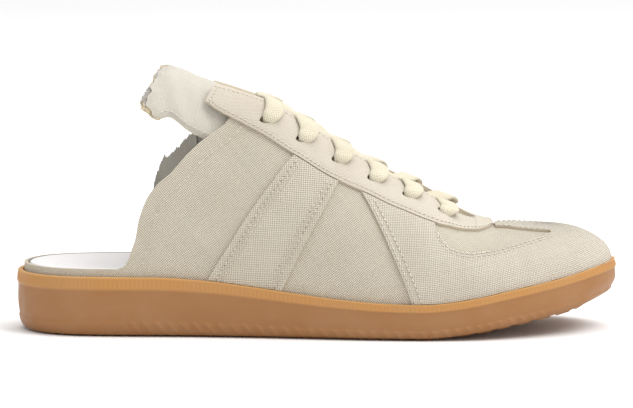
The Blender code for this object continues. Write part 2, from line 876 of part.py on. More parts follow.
def crossing_stops(row, side):
    """From above an eyelet, over the facing's edge, down across the tongue and under the other facing's edge."""
    start, end = eyelet_at(row), eyelet_at(row + 1)
    near, far = throat_girth(start, "edge"), throat_girth(end, "edge")
    hole, tuck = near + EYELET_INSET, far + 0.3 * EYELET_INSET
    offsets = [hole, (hole + near) / 2, near - LACE_THICKNESS / 2, near / 2, 0.0, -far / 2, -far, -tuck]
    high, low = over_level(), under_level()
    levels = [high, high + GAP, high + GAP, high / 2, 0.0, low / 2, low, low]
    length = hole + tuck
    return [
        (start + (end - start) * (hole - offset) / length, side * offset, level)
        for offset, level in zip(offsets, levels)
    ]


def lace_crossing(row, material):
    """The two runs between this row of eyelets and the next, joined where they cross."""
    obj = lace_run(f"lace_cross_{row + 1}", crossing_stops(row, -1), material)
    other = lace_run(f"lace_cross_{row + 1}_other", crossing_stops(row, 1), material)
    other.hide_render = True
    join = obj.modifiers.new("joined", "BOOLEAN")
    join.operation = "UNION"
    join.object = other
    return obj


def lace_bar(material):
    """The straight run over the last row, which ends in its two eyelets."""
    at = eyelet_at(EYELET_ROWS - 1)
    edge = throat_girth(at, "edge")
    hole = edge + EYELET_INSET
    level = over_level()
    stops = [(at, -hole, level), (at, -edge, level), (at, 0.0, 0.6 * level), (at, edge, level), (at, hole, level)]
    return lace_run("lace_bar", stops, material)


def main():
    for obj in list(bpy.data.objects):
        bpy.data.objects.remove(obj)
    gum = make_material("gum_rubber", (0.52, 0.27, 0.09), 0.5)
    canvas = make_material("canvas", (0.70, 0.65, 0.53), 0.95)
    white = make_material("insole_lining", (0.86, 0.84, 0.84), 0.7)
    facing = make_material("facing_canvas", (0.76, 0.71, 0.62), 0.95)
    panel = make_material("panel_canvas", (0.72, 0.67, 0.56), 0.95)
    padding = make_material("tongue_canvas", (0.78, 0.74, 0.66), 0.95)
    lace = make_material("lace_cotton", (0.74, 0.70, 0.58), 0.9)
    outsole(gum)
    insole(white)
    upper(canvas)
    eyestay(facing)
    side_band("side_band_lateral", False, panel)
    side_band("side_band_medial", True, panel)
    toe_guard(panel)
    tongue(padding)
    for row in range(EYELET_ROWS - 1):
        lace_crossing(row, lace)
    lace_bar(lace)


main()
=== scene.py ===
"""The looks of a right trainer in undyed canvas with its heel cut away, on a moulded gum cupsole.

Metres, +Z up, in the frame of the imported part: toe along +X, and the outer side of the foot along -Y.
The tables that shape the last and the sole are the part's own, so each piece lies where its solid lies.
Arrays run over many places at once: q is the place round the shoe, v the way up from the sole to the ridge.
"""

import math
from collections import namedtuple

import bpy
import numpy as np
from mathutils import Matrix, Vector
from mathutils.kdtree import KDTree


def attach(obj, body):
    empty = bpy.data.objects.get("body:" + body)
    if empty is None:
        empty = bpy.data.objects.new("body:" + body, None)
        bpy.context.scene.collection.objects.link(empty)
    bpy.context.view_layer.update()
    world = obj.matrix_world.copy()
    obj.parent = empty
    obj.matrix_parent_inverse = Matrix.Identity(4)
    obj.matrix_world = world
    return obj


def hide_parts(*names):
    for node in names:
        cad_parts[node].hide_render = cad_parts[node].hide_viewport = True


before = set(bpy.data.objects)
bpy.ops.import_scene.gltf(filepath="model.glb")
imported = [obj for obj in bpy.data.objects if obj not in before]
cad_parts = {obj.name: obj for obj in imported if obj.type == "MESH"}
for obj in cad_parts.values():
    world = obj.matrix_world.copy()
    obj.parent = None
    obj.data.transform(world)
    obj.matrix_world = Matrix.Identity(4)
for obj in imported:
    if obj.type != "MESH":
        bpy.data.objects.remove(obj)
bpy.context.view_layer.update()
# Sizes of the cupsole
SOLE_LENGTH = 0.288
SOLE_WIDTH = 0.104
HEEL_STACK = 0.0288
TOE_SPRING = 0.0146
RIM_WALL = 0.0030
CUP_DEPTH = 0.0050
TREAD_HEIGHT = 0.0010
TREAD_BORDER = 0.0040
SIDE_TUCK = 0.0030
TOE_TUCK = 0.0090
BAND_STEP = 0.0004
LUG_PITCH = 0.0094
LUG_GROOVE = 0.0032

# Sizes of the upper, from the last
INSTEP_HEIGHT = 0.1150
UPPER_WALL = 0.0016
HEEL_BAND = 0.0035
THROAT_WIDTH = 0.0360
PANEL_THICKNESS = 0.0008
EYESTAY_THICKNESS = 0.0013
TONGUE_WIDTH = 0.0800
TONGUE_THICKNESS = 0.0040
TONGUE_PRESS = 0.0045

# Sizes of the insole
INSOLE_THICKNESS = 0.0044
INSOLE_HEEL_EXTRA = 0.0019
INSOLE_EDGE_LIFT = 0.0017
INSOLE_EDGE_WIDTH = 0.0130

# Sizes of the lacing
EYELET_ROWS = 6
EYELET_INSET = 0.0117
LACE_WIDTH = 0.0080
LACE_THICKNESS = 0.0026

# Pieces that touch keep this much air between them.
GAP = 0.0005

# Points nearer than this are one point.
SAME_POINT = 0.000002

# The outline of the sole from above: y of its outer and inner side, as shares of half the sole's width
Plan = namedtuple("Plan", "at lateral medial")
OUTLINE = [
    Plan(0.000, 0.000, 0.000),
    Plan(0.015, 0.325, 0.325),
    Plan(0.050, 0.545, 0.545),
    Plan(0.100, 0.660, 0.655),
    Plan(0.160, 0.700, 0.695),
    Plan(0.260, 0.722, 0.690),
    Plan(0.380, 0.785, 0.665),
    Plan(0.500, 0.885, 0.710),
    Plan(0.600, 0.970, 0.830),
    Plan(0.680, 1.000, 0.935),
    Plan(0.755, 0.972, 1.000),
    Plan(0.820, 0.880, 0.980),
    Plan(0.890, 0.705, 0.880),
    Plan(0.945, 0.480, 0.695),
    Plan(0.985, 0.190, 0.440),
    Plan(1.000, -0.115, 0.115),
]

# The sole from the side: lift off the floor as a share of the toe spring, wall height as a share of the
# heel's
Side = namedtuple("Side", "at lift wall")
SOLE_SIDE = [
    Side(0.00, 0.00, 1.000),
    Side(0.22, 0.00, 1.000),
    Side(0.31, 0.00, 0.955),
    Side(0.39, 0.00, 0.864),
    Side(0.47, 0.00, 0.755),
    Side(0.55, 0.00, 0.663),
    Side(0.62, 0.00, 0.615),
    Side(0.68, 0.00, 0.605),
    Side(0.72, 0.06, 0.608),
    Side(0.77, 0.19, 0.618),
    Side(0.82, 0.37, 0.625),
    Side(0.87, 0.55, 0.622),
    Side(0.92, 0.73, 0.625),
    Side(0.96, 0.88, 0.634),
    Side(1.00, 1.00, 0.645),
]

# The sole's wall from its lower edge up: tuck inwards as a share of the tuck at that place, ribs and
# steps as shares
Wall = namedtuple("Wall", "up tuck step rib slant")
SOLE_WALL = [
    Wall(0.000, 1.00, 0.0, 0.3, 0),
    Wall(0.070, 0.58, 0.0, 1.0, 0),
    Wall(0.190, 0.28, 0.0, 1.0, 1),
    Wall(0.260, 0.20, 1.0, 0.0, 0),
    Wall(0.500, 0.00, 1.0, 0.0, 0),
    Wall(0.770, 0.03, 1.0, 0.0, 0),
    Wall(0.800, 0.03, 0.0, 0.0, 0),
    Wall(0.970, 0.12, 0.0, 0.0, 0),
]

# The last: ridge height as a share of the instep's, its y as a share of half the sole's width, section
# fullness
Last = namedtuple("Last", "at ridge centre fullness")
LAST = [
    Last(0.000, 1.170, 0.00, 2.2),
    Last(0.250, 1.122, 0.00, 2.2),
    Last(0.320, 1.062, 0.00, 2.2),
    Last(0.380, 1.022, 0.01, 2.25),
    Last(0.410, 1.000, 0.01, 2.3),
    Last(0.468, 0.922, 0.02, 2.3),
    Last(0.522, 0.829, 0.03, 2.3),
    Last(0.578, 0.733, 0.04, 2.3),
    Last(0.622, 0.661, 0.05, 2.3),
    Last(0.677, 0.584, 0.06, 2.3),
    Last(0.705, 0.536, 0.07, 2.3),
    Last(0.735, 0.480, 0.07, 2.3),
    Last(0.765, 0.447, 0.08, 2.3),
    Last(0.800, 0.430, 0.08, 2.25),
    Last(0.870, 0.426, 0.09, 2.1),
    Last(1.000, 0.426, 0.09, 2.0),
]
RIDGE_TURNS_AT = 0.700
RIDGE_ENDS_AT = 0.870
RIDGE_JOINS_AT = 0.972

# The cut through the quarters, as shares of the way up from the heel band to the ridge
Cut = namedtuple("Cut", "at rise")
CUT = [
    Cut(0.000, 0.000),
    Cut(0.166, 0.000),
    Cut(0.179, 0.013),
    Cut(0.187, 0.043),
    Cut(0.193, 0.096),
    Cut(0.199, 0.145),
    Cut(0.205, 0.241),
    Cut(0.220, 0.355),
    Cut(0.236, 0.419),
    Cut(0.260, 0.489),
    Cut(0.286, 0.596),
    Cut(0.311, 0.684),
    Cut(0.346, 0.789),
    Cut(0.353, 0.822),
    Cut(0.380, 0.930),
    Cut(0.400, 1.000),
]

# The throat: half its opening as a share of half the throat's width, and the eyestay's outer edge in the
# same share
Throat = namedtuple("Throat", "at edge eyestay")
THROAT = [
    Throat(0.300, 0.66, 1.18),
    Throat(0.314, 0.67, 1.28),
    Throat(0.338, 0.68, 1.48),
    Throat(0.371, 0.74, 1.68),
    Throat(0.410, 0.83, 1.92),
    Throat(0.459, 0.93, 2.13),
    Throat(0.520, 0.98, 2.23),
    Throat(0.600, 0.96, 2.17),
    Throat(0.660, 0.90, 2.17),
    Throat(0.700, 0.79, 2.07),
    Throat(0.722, 0.69, 1.83),
    Throat(0.755, 0.42, 1.49),
    Throat(0.765, 0.22, 1.39),
    Throat(0.769, 0.00, 1.35),
    Throat(0.785, 0.00, 1.04),
    Throat(0.800, 0.00, 0.49),
    Throat(0.806, 0.00, 0.00),
]
THROAT_FRONT = 0.769
EYESTAY_FRONT = 0.806
EYESTAY_REAR_LOW = 0.3137
EYESTAY_REAR_HIGH = 0.3290

# Eyelet rows, from the first above the toe to the last
FIRST_EYELET_AT = 0.7056
LAST_EYELET_AT = 0.4148

# Seams from the sole, up = 0, to the eyestay, up = 1: both edges of the side band and the rear edge of
# the toe guard
Seam = namedtuple("Seam", "up rear front guard")
SEAMS = [
    Seam(0.00, 0.3175, 0.4406, 0.6570),
    Seam(0.25, 0.3560, 0.4650, 0.6432),
    Seam(0.50, 0.3918, 0.4896, 0.6257),
    Seam(0.75, 0.4273, 0.5124, 0.6040),
    Seam(0.90, 0.4462, 0.5251, 0.5869),
    Seam(1.00, 0.4600, 0.5337, 0.5721),
]

# The window that the toe guard leaves between its lower edge and its stem, as shares of the way up to
# the ridge
Window = namedtuple("Window", "at low high")
WINDOW = [
    Window(0.693, 0.732, 0.990),
    Window(0.701, 0.700, 0.990),
    Window(0.710, 0.645, 0.990),
    Window(0.722, 0.621, 0.990),
    Window(0.740, 0.620, 0.990),
    Window(0.780, 0.666, 0.990),
    Window(0.810, 0.702, 0.986),
    Window(0.850, 0.760, 0.965),
    Window(0.890, 0.818, 0.939),
    Window(0.928, 0.880, 0.914),
]
WINDOW_REAR = 0.693
WINDOW_FRONT = 0.928
STEM_REAR = 0.8085

# The tongue: half its width as a share, and how far it is pressed down under the laces as a share
Tongue = namedtuple("Tongue", "at half press")
TONGUE = [
    Tongue(0.210, 0.93, 0.00),
    Tongue(0.235, 0.93, 0.00),
    Tongue(0.254, 0.88, 0.00),
    Tongue(0.289, 0.99, 0.00),
    Tongue(0.360, 1.05, 0.30),
    Tongue(0.420, 1.02, 1.00),
    Tongue(0.680, 0.90, 1.00),
    Tongue(0.735, 0.70, 0.30),
    Tongue(0.760, 0.55, 0.15),
    Tongue(0.790, 0.36, 0.10),
]
TONGUE_FRONT = 0.790

# The torn end of the tongue, from the middle, out = 0, to its side, out = 1
Torn = namedtuple("Torn", "out at")
TORN_END = [
    Torn(0.00, 0.2560),
    Torn(0.10, 0.2526),
    Torn(0.23, 0.2420),
    Torn(0.50, 0.2290),
    Torn(0.83, 0.2180),
    Torn(1.00, 0.2335),
]
# Sizes that only the looks need
HEEL_TUCK_SEEN = 0.0035
CLOTH_WAVE = 0.00012
MEDIAL_CUT_SHIFT = 0.022
PANEL_CLEARANCE = 0.0002
GIRTH_STEPS = 12
EYELET_LENGTH = 0.0056
LACE_LEAN = 0.0105
EYELET_HEIGHT = 0.0042
STITCH_PITCH = 0.0027
STITCH_LENGTH = 0.0021
STITCH_WIDTH = 0.00055
STITCH_HEIGHT = 0.00034
NEEDLE_HOLE = 0.0004
INSTEP_SLOPE = 0.33
FINE_RIB_PITCH = 0.0021
FINE_RIB_RELIEF = 0.00016
KNURL_PITCH = 0.0059
KNURL_RELIEF = 0.00055

# The rounded top of the sole's wall: rows of (distance inwards, drop, place in the gum's colouring)
LIP_ROWS = ((0.0007, 0.0001, 1.0), (0.0012, 0.0, 1.0), (0.0024, 0.0, 1.02), (0.00285, 0.00015, 1.04))

# Folds of the cloth, each along a line in the shoe's own sizes: a trough sinks, a ridge lifts. On "top"
# z means y.
Fold = namedtuple("Fold", "side x z to_x to_z lift width")
FOLDS = [
    Fold("lateral", -0.050, 0.098, -0.022, 0.060, -0.0005, 0.006),
    Fold("lateral", -0.064, 0.050, -0.040, 0.036, 0.0004, 0.005),
    Fold("lateral", 0.030, 0.052, 0.052, 0.034, -0.0004, 0.006),
    Fold("lateral", 0.062, 0.047, 0.086, 0.038, -0.0004, 0.004),
    Fold("medial", -0.046, 0.090, -0.018, 0.052, -0.0005, 0.006),
    Fold("medial", 0.040, 0.050, 0.070, 0.036, -0.0005, 0.005),
    Fold("top", 0.083, -0.030, 0.088, 0.034, -0.0004, 0.003),
    Fold("top", 0.091, -0.024, 0.095, 0.028, 0.0003, 0.003),
]

# The way of a lace between two rows of eyelets. Offset 2 is the hole, 1 the facing's edge, 0 the middle
# of the throat, and minus the far side. Level 1 lies on the facing, and -1 under it. Width is a share of
# the lace's.
Stop = namedtuple("Stop", "offset level width")
OVER_RUN = [
    Stop(2.02, 0.05, 0.62),
    Stop(1.95, 0.80, 0.95),
    Stop(1.62, 1.02, 1.18),
    Stop(1.08, 0.82, 1.14),
    Stop(0.85, 0.20, 1.05),
    Stop(0.55, -0.55, 1.00),
    Stop(0.00, -0.85, 1.00),
    Stop(-0.50, -0.95, 1.00),
    Stop(-1.10, -1.00, 0.95),
    Stop(-1.60, -1.00, 0.85),
    Stop(-1.90, -0.90, 0.70),
]
UNDER_RUN = [
    Stop(2.02, 0.05, 0.62),
    Stop(1.95, 0.80, 0.95),
    Stop(1.62, 1.02, 1.18),
    Stop(1.08, 0.82, 1.14),
    Stop(0.85, 0.10, 1.05),
    Stop(0.55, -0.95, 1.00),
    Stop(0.00, -1.50, 1.00),
    Stop(-0.50, -1.35, 1.00),
    Stop(-1.00, -1.05, 1.00),
    Stop(-1.60, -1.00, 0.85),
    Stop(-1.90, -0.90, 0.70),
]
FRONT_RUN = [
    Stop(1.90, -0.90, 0.70),
    Stop(1.50, -1.00, 0.90),
    Stop(0.00, -1.00, 1.00),
    Stop(-1.50, -1.00, 0.90),
    Stop(-1.90, -0.90, 0.70),
]
BAR_RUN = [
    Stop(2.02, 0.05, 0.62),
    Stop(1.95, 0.80, 0.95),
    Stop(1.62, 1.02, 1.18),
    Stop(1.08, 0.82, 1.14),
    Stop(0.80, 0.15, 1.05),
    Stop(0.45, -0.60, 1.00),
    Stop(-0.45, -0.60, 1.00),
    Stop(-0.80, 0.15, 1.05),
    Stop(-1.08, 0.82, 1.14),
    Stop(-1.62, 1.02, 1.18),
    Stop(-1.95, 0.80, 0.95),
    Stop(-2.02, 0.05, 0.62),
    Stop(-1.97, -0.90, 0.60),
]

# Where the stitches run: shares across the side band, and distances in from other edges
BAND_STITCHES = (0.11, 0.185, 0.815, 0.89)
GUARD_STITCHES = (0.0018, 0.0048)
WINDOW_STITCHES = (0.0016, 0.0040)
FACING_STITCH = 0.0019
CUT_STITCH = 0.0072

# The photograph's view of the shoe
VIEW_WIDTH = 0.3038
VIEW_CENTRE_X = -0.0002
VIEW_CENTRE_Z = 0.0597
CAMERA_ELEVATION = 7.0
CAMERA_LENS = 500.0


# The last and the sole, over arrays of places

def read(table, column, at, key=None):
    """A table's column at shares of the length, on a smooth curve that doesn't overshoot its rows."""
    places = np.array([row[0] for row in table], float)
    values = np.array([getattr(row, column) for row in table], float)
    if key:
        places, at = key(places), key(at)
    place = np.clip(at, places[0], places[-1])
    steps = np.diff(values) / np.diff(places)
    before, after = steps[:-1], steps[1:]
    same_way = before * after > 0
    joined = np.where(same_way, 2 * before * after / np.where(same_way, before + after, 1.0), 0.0)
    slopes = np.concatenate([steps[:1], joined, steps[-1:]])
    i = np.clip(np.searchsorted(places, place) - 1, 0, len(places) - 2)
    span = places[i + 1] - places[i]
    t = (place - places[i]) / span
    return (
        (2 * t**3 - 3 * t**2 + 1) * values[i]
        + (t**3 - 2 * t**2 + t) * slopes[i] * span
        + (3 * t**2 - 2 * t**3) * values[i + 1]
        + (t**3 - t**2) * slopes[i + 1] * span
    )


def smooth(t):
    t = np.clip(t, 0.0, 1.0)
    return t * t * (3 - 2 * t)


def unit(vectors):
    return vectors / np.maximum(np.linalg.norm(vectors, axis=-1, keepdims=True), 1e-12)


def turn(at):
    """Where a share of the length lies on a half turn from heel to toe, to round both ends of the outline."""
    return np.arccos(1 - 2 * np.clip(at, 0.0, 1.0)) / np.pi


def share_of(x):
    return x / SOLE_LENGTH + 0.5


def x_of(at):
    return (at - 0.5) * SOLE_LENGTH


def place_of(at, inner):
    """Loop place of a share of the length: 0 to 1 along the outer side, 1 to 2 back along the inner side."""
    return np.where(inner, 2 - turn(at), turn(at))


def is_inner(q):
    return np.mod(q, 2.0) > 1


def station(q):
    q = np.mod(q, 2.0)
    return (1 - np.cos(np.pi * np.where(q > 1, 2 - q, q))) / 2


def outline(q, inset=0.0):
    """The sole's outline at loop places, moved inwards by inset."""

    def bare(place):
        at = station(place)
        lateral, medial = read(OUTLINE, "lateral", at, turn), read(OUTLINE, "medial", at, turn)
        return np.stack([x_of(at), np.where(is_inner(place), medial, -lateral) * SOLE_WIDTH / 2], -1)

    small = 0.004
    q = np.asarray(q, float)
    along = unit(bare(q + small) - bare(q - small))
    return bare(q) + np.stack([-along[..., 1], along[..., 0]], -1) * np.asarray(inset)[..., None]


def sole_lift(x):
    return read(SOLE_SIDE, "lift", share_of(x)) * TOE_SPRING


def sole_top(x):
    return sole_lift(x) + read(SOLE_SIDE, "wall", share_of(x)) * HEEL_STACK


def cup_floor(x):
    return sole_top(x) - CUP_DEPTH


def ridge_station(at):
    """Sections are square to the shoe up to the toe box, and from there they fan out from the ridge's end."""
    whole = RIDGE_JOINS_AT - RIDGE_TURNS_AT
    t = np.clip((at - RIDGE_TURNS_AT) / whole, 0.0, 1.0)
    kept = (RIDGE_ENDS_AT - RIDGE_TURNS_AT) / whole
    return np.where(at <= RIDGE_TURNS_AT, at, RIDGE_TURNS_AT + whole * kept * (1 - (1 - t) ** (1 / kept)))


def section(q):
    """(foot of the wall, ridge point, fullness) of the upper's outer face at loop places."""
    at = station(q)
    foot = outline(q, RIM_WALL + GAP)
    ridge_at = ridge_station(at)
    ridge = np.stack(
        [
            x_of(ridge_at),
            read(LAST, "centre", ridge_at) * SOLE_WIDTH / 2,
            read(LAST, "ridge", ridge_at) * INSTEP_HEIGHT,
        ],
        -1,
    )
    return np.concatenate([foot, sole_top(foot[..., :1])], -1), ridge, read(LAST, "fullness", at)


def swell(v, fullness):
    """(share of the way out, share of the way up) on a section. v runs 0 to 1 from foot to ridge."""
    c = np.maximum(np.cos(v * np.pi / 2), 0.0)
    s = np.maximum(np.sin(v * np.pi / 2), 0.0)
    size = (c**fullness + s**fullness) ** (-1 / fullness)
    return size * c, size * s


def bare_point(q, v):
    """The last with no folds. Below v = 0 it is the straight skirt that stands in the cup of the sole."""
    q, v = np.broadcast_arrays(np.asarray(q, float), np.asarray(v, float))
    foot, ridge, fullness = section(q)
    out, up = swell(np.maximum(v, 0.0), fullness)
    below = foot[..., 2] + v * (CUP_DEPTH - GAP)
    z = np.where(v <= 0, below, foot[..., 2] + (ridge[..., 2] - foot[..., 2]) * up)
    out = np.where(v <= 0, 1.0, out)
    xy = ridge[..., :2] + (foot[..., :2] - ridge[..., :2]) * out[..., None]
    return np.concatenate([xy, z[..., None]], -1)


def bare_normal(q, v):
    q, v = np.broadcast_arrays(np.asarray(q, float), np.asarray(v, float))
    small = 0.004
    at = ridge_station(station(q))
    rise = (read(LAST, "ridge", at + small) - read(LAST, "ridge", at - small)) * INSTEP_HEIGHT
    top = unit(np.stack([-rise, np.zeros_like(rise), np.full_like(rise, 2 * small * SOLE_LENGTH)], -1))
    low = np.clip(v, small, 1 - small)
    along = bare_point(q + small, low) - bare_point(q - small, low)
    upward = bare_point(q, low + small) - bare_point(q, low - small)
    return np.where((v > 1 - small)[..., None], top, unit(np.cross(along, upward)))


def fold_height(points, normals):
    """How far the listed folds lift or sink the cloth at points of the last."""
    height = np.zeros(len(points))
    for fold in FOLDS:
        start, end = np.array([fold.x, fold.z]), np.array([fold.to_x, fold.to_z])
        if fold.side == "top":
            flat = points[:, [0, 1]]
            facing = smooth((normals[:, 2] - 0.3) / 0.4)
        else:
            flat = points[:, [0, 2]]
            way = -1 if fold.side == "lateral" else 1
            facing = smooth(normals[:, 1] * way * 3)
        run = end - start
        t = np.clip(((flat - start) @ run) / (run @ run), 0, 1)
        away = np.linalg.norm(flat - start - t[:, None] * run, axis=1)
        fade = np.sin(np.pi * np.clip(0.12 + 0.76 * t, 0, 1))
        height += fold.lift * facing * fade * np.exp(-((away / fold.width) ** 2))
    x, y, z = points.T
    wave = np.sin(x * 210 + z * 90) * np.sin(z * 260 - x * 70 + 1.3) + 0.6 * np.sin(x * 95 + y * 120 + 0.5)
    return height + CLOTH_WAVE * wave * smooth((z - sole_top(x)) / 0.012)


def last_point(q, v, level=0.0):
    """(points, normals) of the creased last, moved out by level."""
    shape = np.broadcast_shapes(np.shape(q), np.shape(v))
    q = np.broadcast_to(q, shape).ravel().astype(float)
    v = np.broadcast_to(v, shape).ravel().astype(float)
    points, normals = bare_point(q, v), bare_normal(q, v)
    move = fold_height(points, normals) + np.broadcast_to(level, shape).ravel()
    return (points + normals * move[:, None]).reshape(*shape, 3), normals.reshape(*shape, 3)


def find(share, wanted):
    """The v between 0 and 1 at which a rising share of v passes the wanted value."""
    low, high = np.zeros_like(wanted), np.ones_like(wanted)
    for _ in range(20):
        middle = (low + high) / 2
        before = share(middle) < wanted
        low, high = np.where(before, middle, low), np.where(before, high, middle)
    return (low + high) / 2


def v_at_rise(q, rise):
    fullness = section(q)[2]
    wanted = np.clip(np.broadcast_to(rise, np.shape(q)), 0, 1).astype(float)
    return find(lambda v: swell(v, fullness)[1], wanted)


def v_at_height(q, height):
    foot, ridge, _ = section(q)
    return v_at_rise(q, (height - foot[..., 2]) / (ridge[..., 2] - foot[..., 2]))


def girth_over(q):
    """A function of v: the way over the surface from the ridge down to it."""
    foot, ridge, fullness = section(q)
    width = np.linalg.norm((foot - ridge)[..., :2], axis=-1)
    height = ridge[..., 2] - foot[..., 2]

    def girth(v):
        total = np.zeros_like(v)
        before = swell(np.ones_like(v), fullness)
        for k in range(1, GIRTH_STEPS + 1):
            here = swell(1.0 - (1.0 - v) * k / GIRTH_STEPS, fullness)
            total += np.hypot((here[0] - before[0]) * width, (here[1] - before[1]) * height)
            before = here
        return total

    return girth


def v_at_girth(q, length):
    """The v at which the way over the surface, down from the ridge, has this length."""
    q, length = np.broadcast_arrays(np.asarray(q, float), np.asarray(length, float))
    girth = girth_over(q)
    return np.where(length > 0, find(lambda v: -girth(v), -length), 1.0)


def cloth_on_last(q, v):
    """Where places of the last lie on flat cloth: along the sole's outline, and up from the sole."""
    steps = np.linspace(0, 2, 2001)
    run = np.concatenate([[0.0], np.cumsum(np.linalg.norm(np.diff(outline(steps), axis=0), axis=1))])
    girth = girth_over(q)
    return np.stack([np.interp(q, steps, run), girth(np.zeros_like(v)) - girth(np.maximum(v, 0.0))], -1)


def throat_girth(at, column):
    return read(THROAT, column, at) * THROAT_WIDTH / 2


def panel_bottom(q):
    """The v of a panel's lower edge, just above the sole's rim."""
    foot, _, _ = section(q)
    return v_at_height(q, foot[..., 2] + PANEL_CLEARANCE)


def panel_top(q):
    """The v of a panel's upper edge, just below the eyestay."""
    return v_at_girth(q, throat_girth(station(q), "eyestay") + GAP)


def upper_top(q):
    """The v at which the upper ends: the quarter's cut, the throat's edge or, past the throat, the ridge."""
    at = station(q)
    foot, ridge, _ = section(q)
    bottom = foot[..., 2] + HEEL_BAND
    moved = at - np.where(is_inner(q), MEDIAL_CUT_SHIFT * smooth((0.245 - at) / 0.03), 0.0)
    cut = v_at_height(q, bottom + read(CUT, "rise", moved) * (ridge[..., 2] - bottom))
    throat = v_at_girth(q, throat_girth(at, "edge"))
    return np.where(at >= THROAT_FRONT, 1.0, np.minimum(cut, throat))


# Meshes

Patch = namedtuple("Patch", "points normals cloth faces")


def add_object(name, mesh, *finishes):
    obj = bpy.data.objects.new(name, mesh)
    bpy.context.scene.collection.objects.link(obj)
    for finish in finishes:
        mesh.materials.append(finish)
    return obj


def ride(obj, slot, *nodes):
    """Every piece rides on the one body. Its slot is not used. It stands for these nodes."""
    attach(obj, "root")
    if nodes:
        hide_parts(*nodes)
    return obj


def grid_faces(columns, rows, kept=None):
    """Faces between columns of points. kept(i, j) says which cells are there."""
    i, j = np.meshgrid(np.arange(columns - 1), np.arange(rows - 1), indexing="ij")
    if kept is not None:
        chosen = kept(i, j)
        i, j = i[chosen], j[chosen]
    a = (i * rows + j).ravel()
    b = a + rows
    return np.stack([a, b, b + 1, a + 1], -1)


def patch_of(points, normals, cloth, kept=None):
    """The patch of a grid of points, without the cells that kept(i, j) leaves out."""
    faces = grid_faces(*points.shape[:2], kept)
    return Patch(points.reshape(-1, 3), normals.reshape(-1, 3), cloth.reshape(-1, 2), faces)


def patch_on_last(q, v, cloth, faces=None):
    points, normals = last_point(q, v)
    if faces is None:
        faces = grid_faces(*q.shape)
    return Patch(points.reshape(-1, 3), normals.reshape(-1, 3), cloth.reshape(-1, 2), faces)


def cloth_places(points):
    """Where each point of a grid lies on the flat cloth: along the columns' feet, and up each column."""
    along = np.concatenate([[0.0], np.cumsum(np.linalg.norm(np.diff(points[:, 0], axis=0), axis=1))])
    up = np.concatenate(
        [np.zeros((len(points), 1)), np.cumsum(np.linalg.norm(np.diff(points, axis=1), axis=2), axis=1)],
        axis=1,
    )
    return np.stack([np.broadcast_to(along[:, None], up.shape), up], -1)


def build_mesh(name, points, loops, cloth_loops, finish_of_face=None, sharp_angle=40):
    """A closed mesh with its cloth places as the UV map. Faces that meet at a sharp angle keep their edge.

    Faces that look inwards are all turned round, and the cloth places of their corners with them.
    """
    points = np.asarray(points)
    sizes = np.array([len(loop) for loop in loops])
    quads = np.array([loop for loop in loops if len(loop) == 4])
    p0, p1, p2, p3 = (points[quads[:, k]] - points.mean(0) for k in range(4))
    volume = np.sum(np.cross(p0, p1) * p2) + np.sum(np.cross(p0, p2) * p3)
    if volume < 0:
        loops = [list(reversed(loop)) for loop in loops]
        ends = np.cumsum(sizes)
        order = np.repeat(ends - 1, sizes) - (np.arange(sizes.sum()) - np.repeat(ends - sizes, sizes))
        cloth_loops = np.asarray(cloth_loops)[order]
    mesh = bpy.data.meshes.new(name)
    mesh.from_pydata(points.tolist(), [], loops)
    layer = mesh.uv_layers.new(name="cloth")
    layer.data.foreach_set("uv", np.asarray(cloth_loops, np.float32).ravel())
    if finish_of_face is not None:
        mesh.polygons.foreach_set("material_index", finish_of_face)
    mesh.shade_smooth()
    mesh.set_sharp_from_angle(angle=math.radians(sharp_angle))
    return mesh


def skin(name, patch, low, high, finishes, sharp_angle=40):
    """A closed sheet from an open patch, between two distances along its normals. Equal points are joined.

    finishes are those of the outer face, the inner face and the cut edge.
    """
    count = len(patch.points)
    low, high = np.broadcast_to(low, count), np.broadcast_to(high, count)
    used = np.unique(patch.faces)
    tree = KDTree(len(used))
    for i in used.tolist():
        tree.insert(patch.points[i], i)
    tree.balance()
    first = np.full(count, -1)
    for i in used.tolist():
        first[i] = min(found[1] for found in tree.find_range(patch.points[i], SAME_POINT))
    kept = np.unique(first[used])
    number = np.full(count, -1)
    number[kept] = np.arange(len(kept))
    number[used] = number[first[used]]
    n = len(kept)
    loops, corners = [], []
    for face in patch.faces.tolist():
        loop = [i for k, i in enumerate(face) if number[i] != number[face[k - 1]]]
        if len(loop) > 2:
            loops.append([int(number[i]) for i in loop])
            corners.append(loop)
    edges = {}
    for loop, corner in zip(loops, corners):
        for k in range(len(loop)):
            edges[(loop[k - 1], loop[k])] = (corner[k - 1], corner[k])
    rim = [(a, b, *edges[(a, b)]) for a, b in edges if (b, a) not in edges]
    solid = loops + [[i + n for i in reversed(loop)] for loop in loops]
    solid += [[b, a, a + n, b + n] for a, b, _, _ in rim]
    corners += [list(reversed(corner)) for corner in corners]
    corners += [[b, a, a, b] for _, _, a, b in rim]
    cloth = patch.cloth[np.concatenate([np.array(c) for c in corners])]
    finish_of_face = np.zeros(len(solid), np.int32)
    if len(finishes) > 1:
        finish_of_face[len(loops): 2 * len(loops)] = 1
        finish_of_face[2 * len(loops):] = len(finishes) - 1
    outer = patch.points[kept] + patch.normals[kept] * high[kept][:, None]
    inner = patch.points[kept] + patch.normals[kept] * low[kept][:, None]
    mesh = build_mesh(name, np.concatenate([outer, inner]), solid, cloth, finish_of_face, sharp_angle)
    return add_object(name, mesh, *finishes)


# Finishes

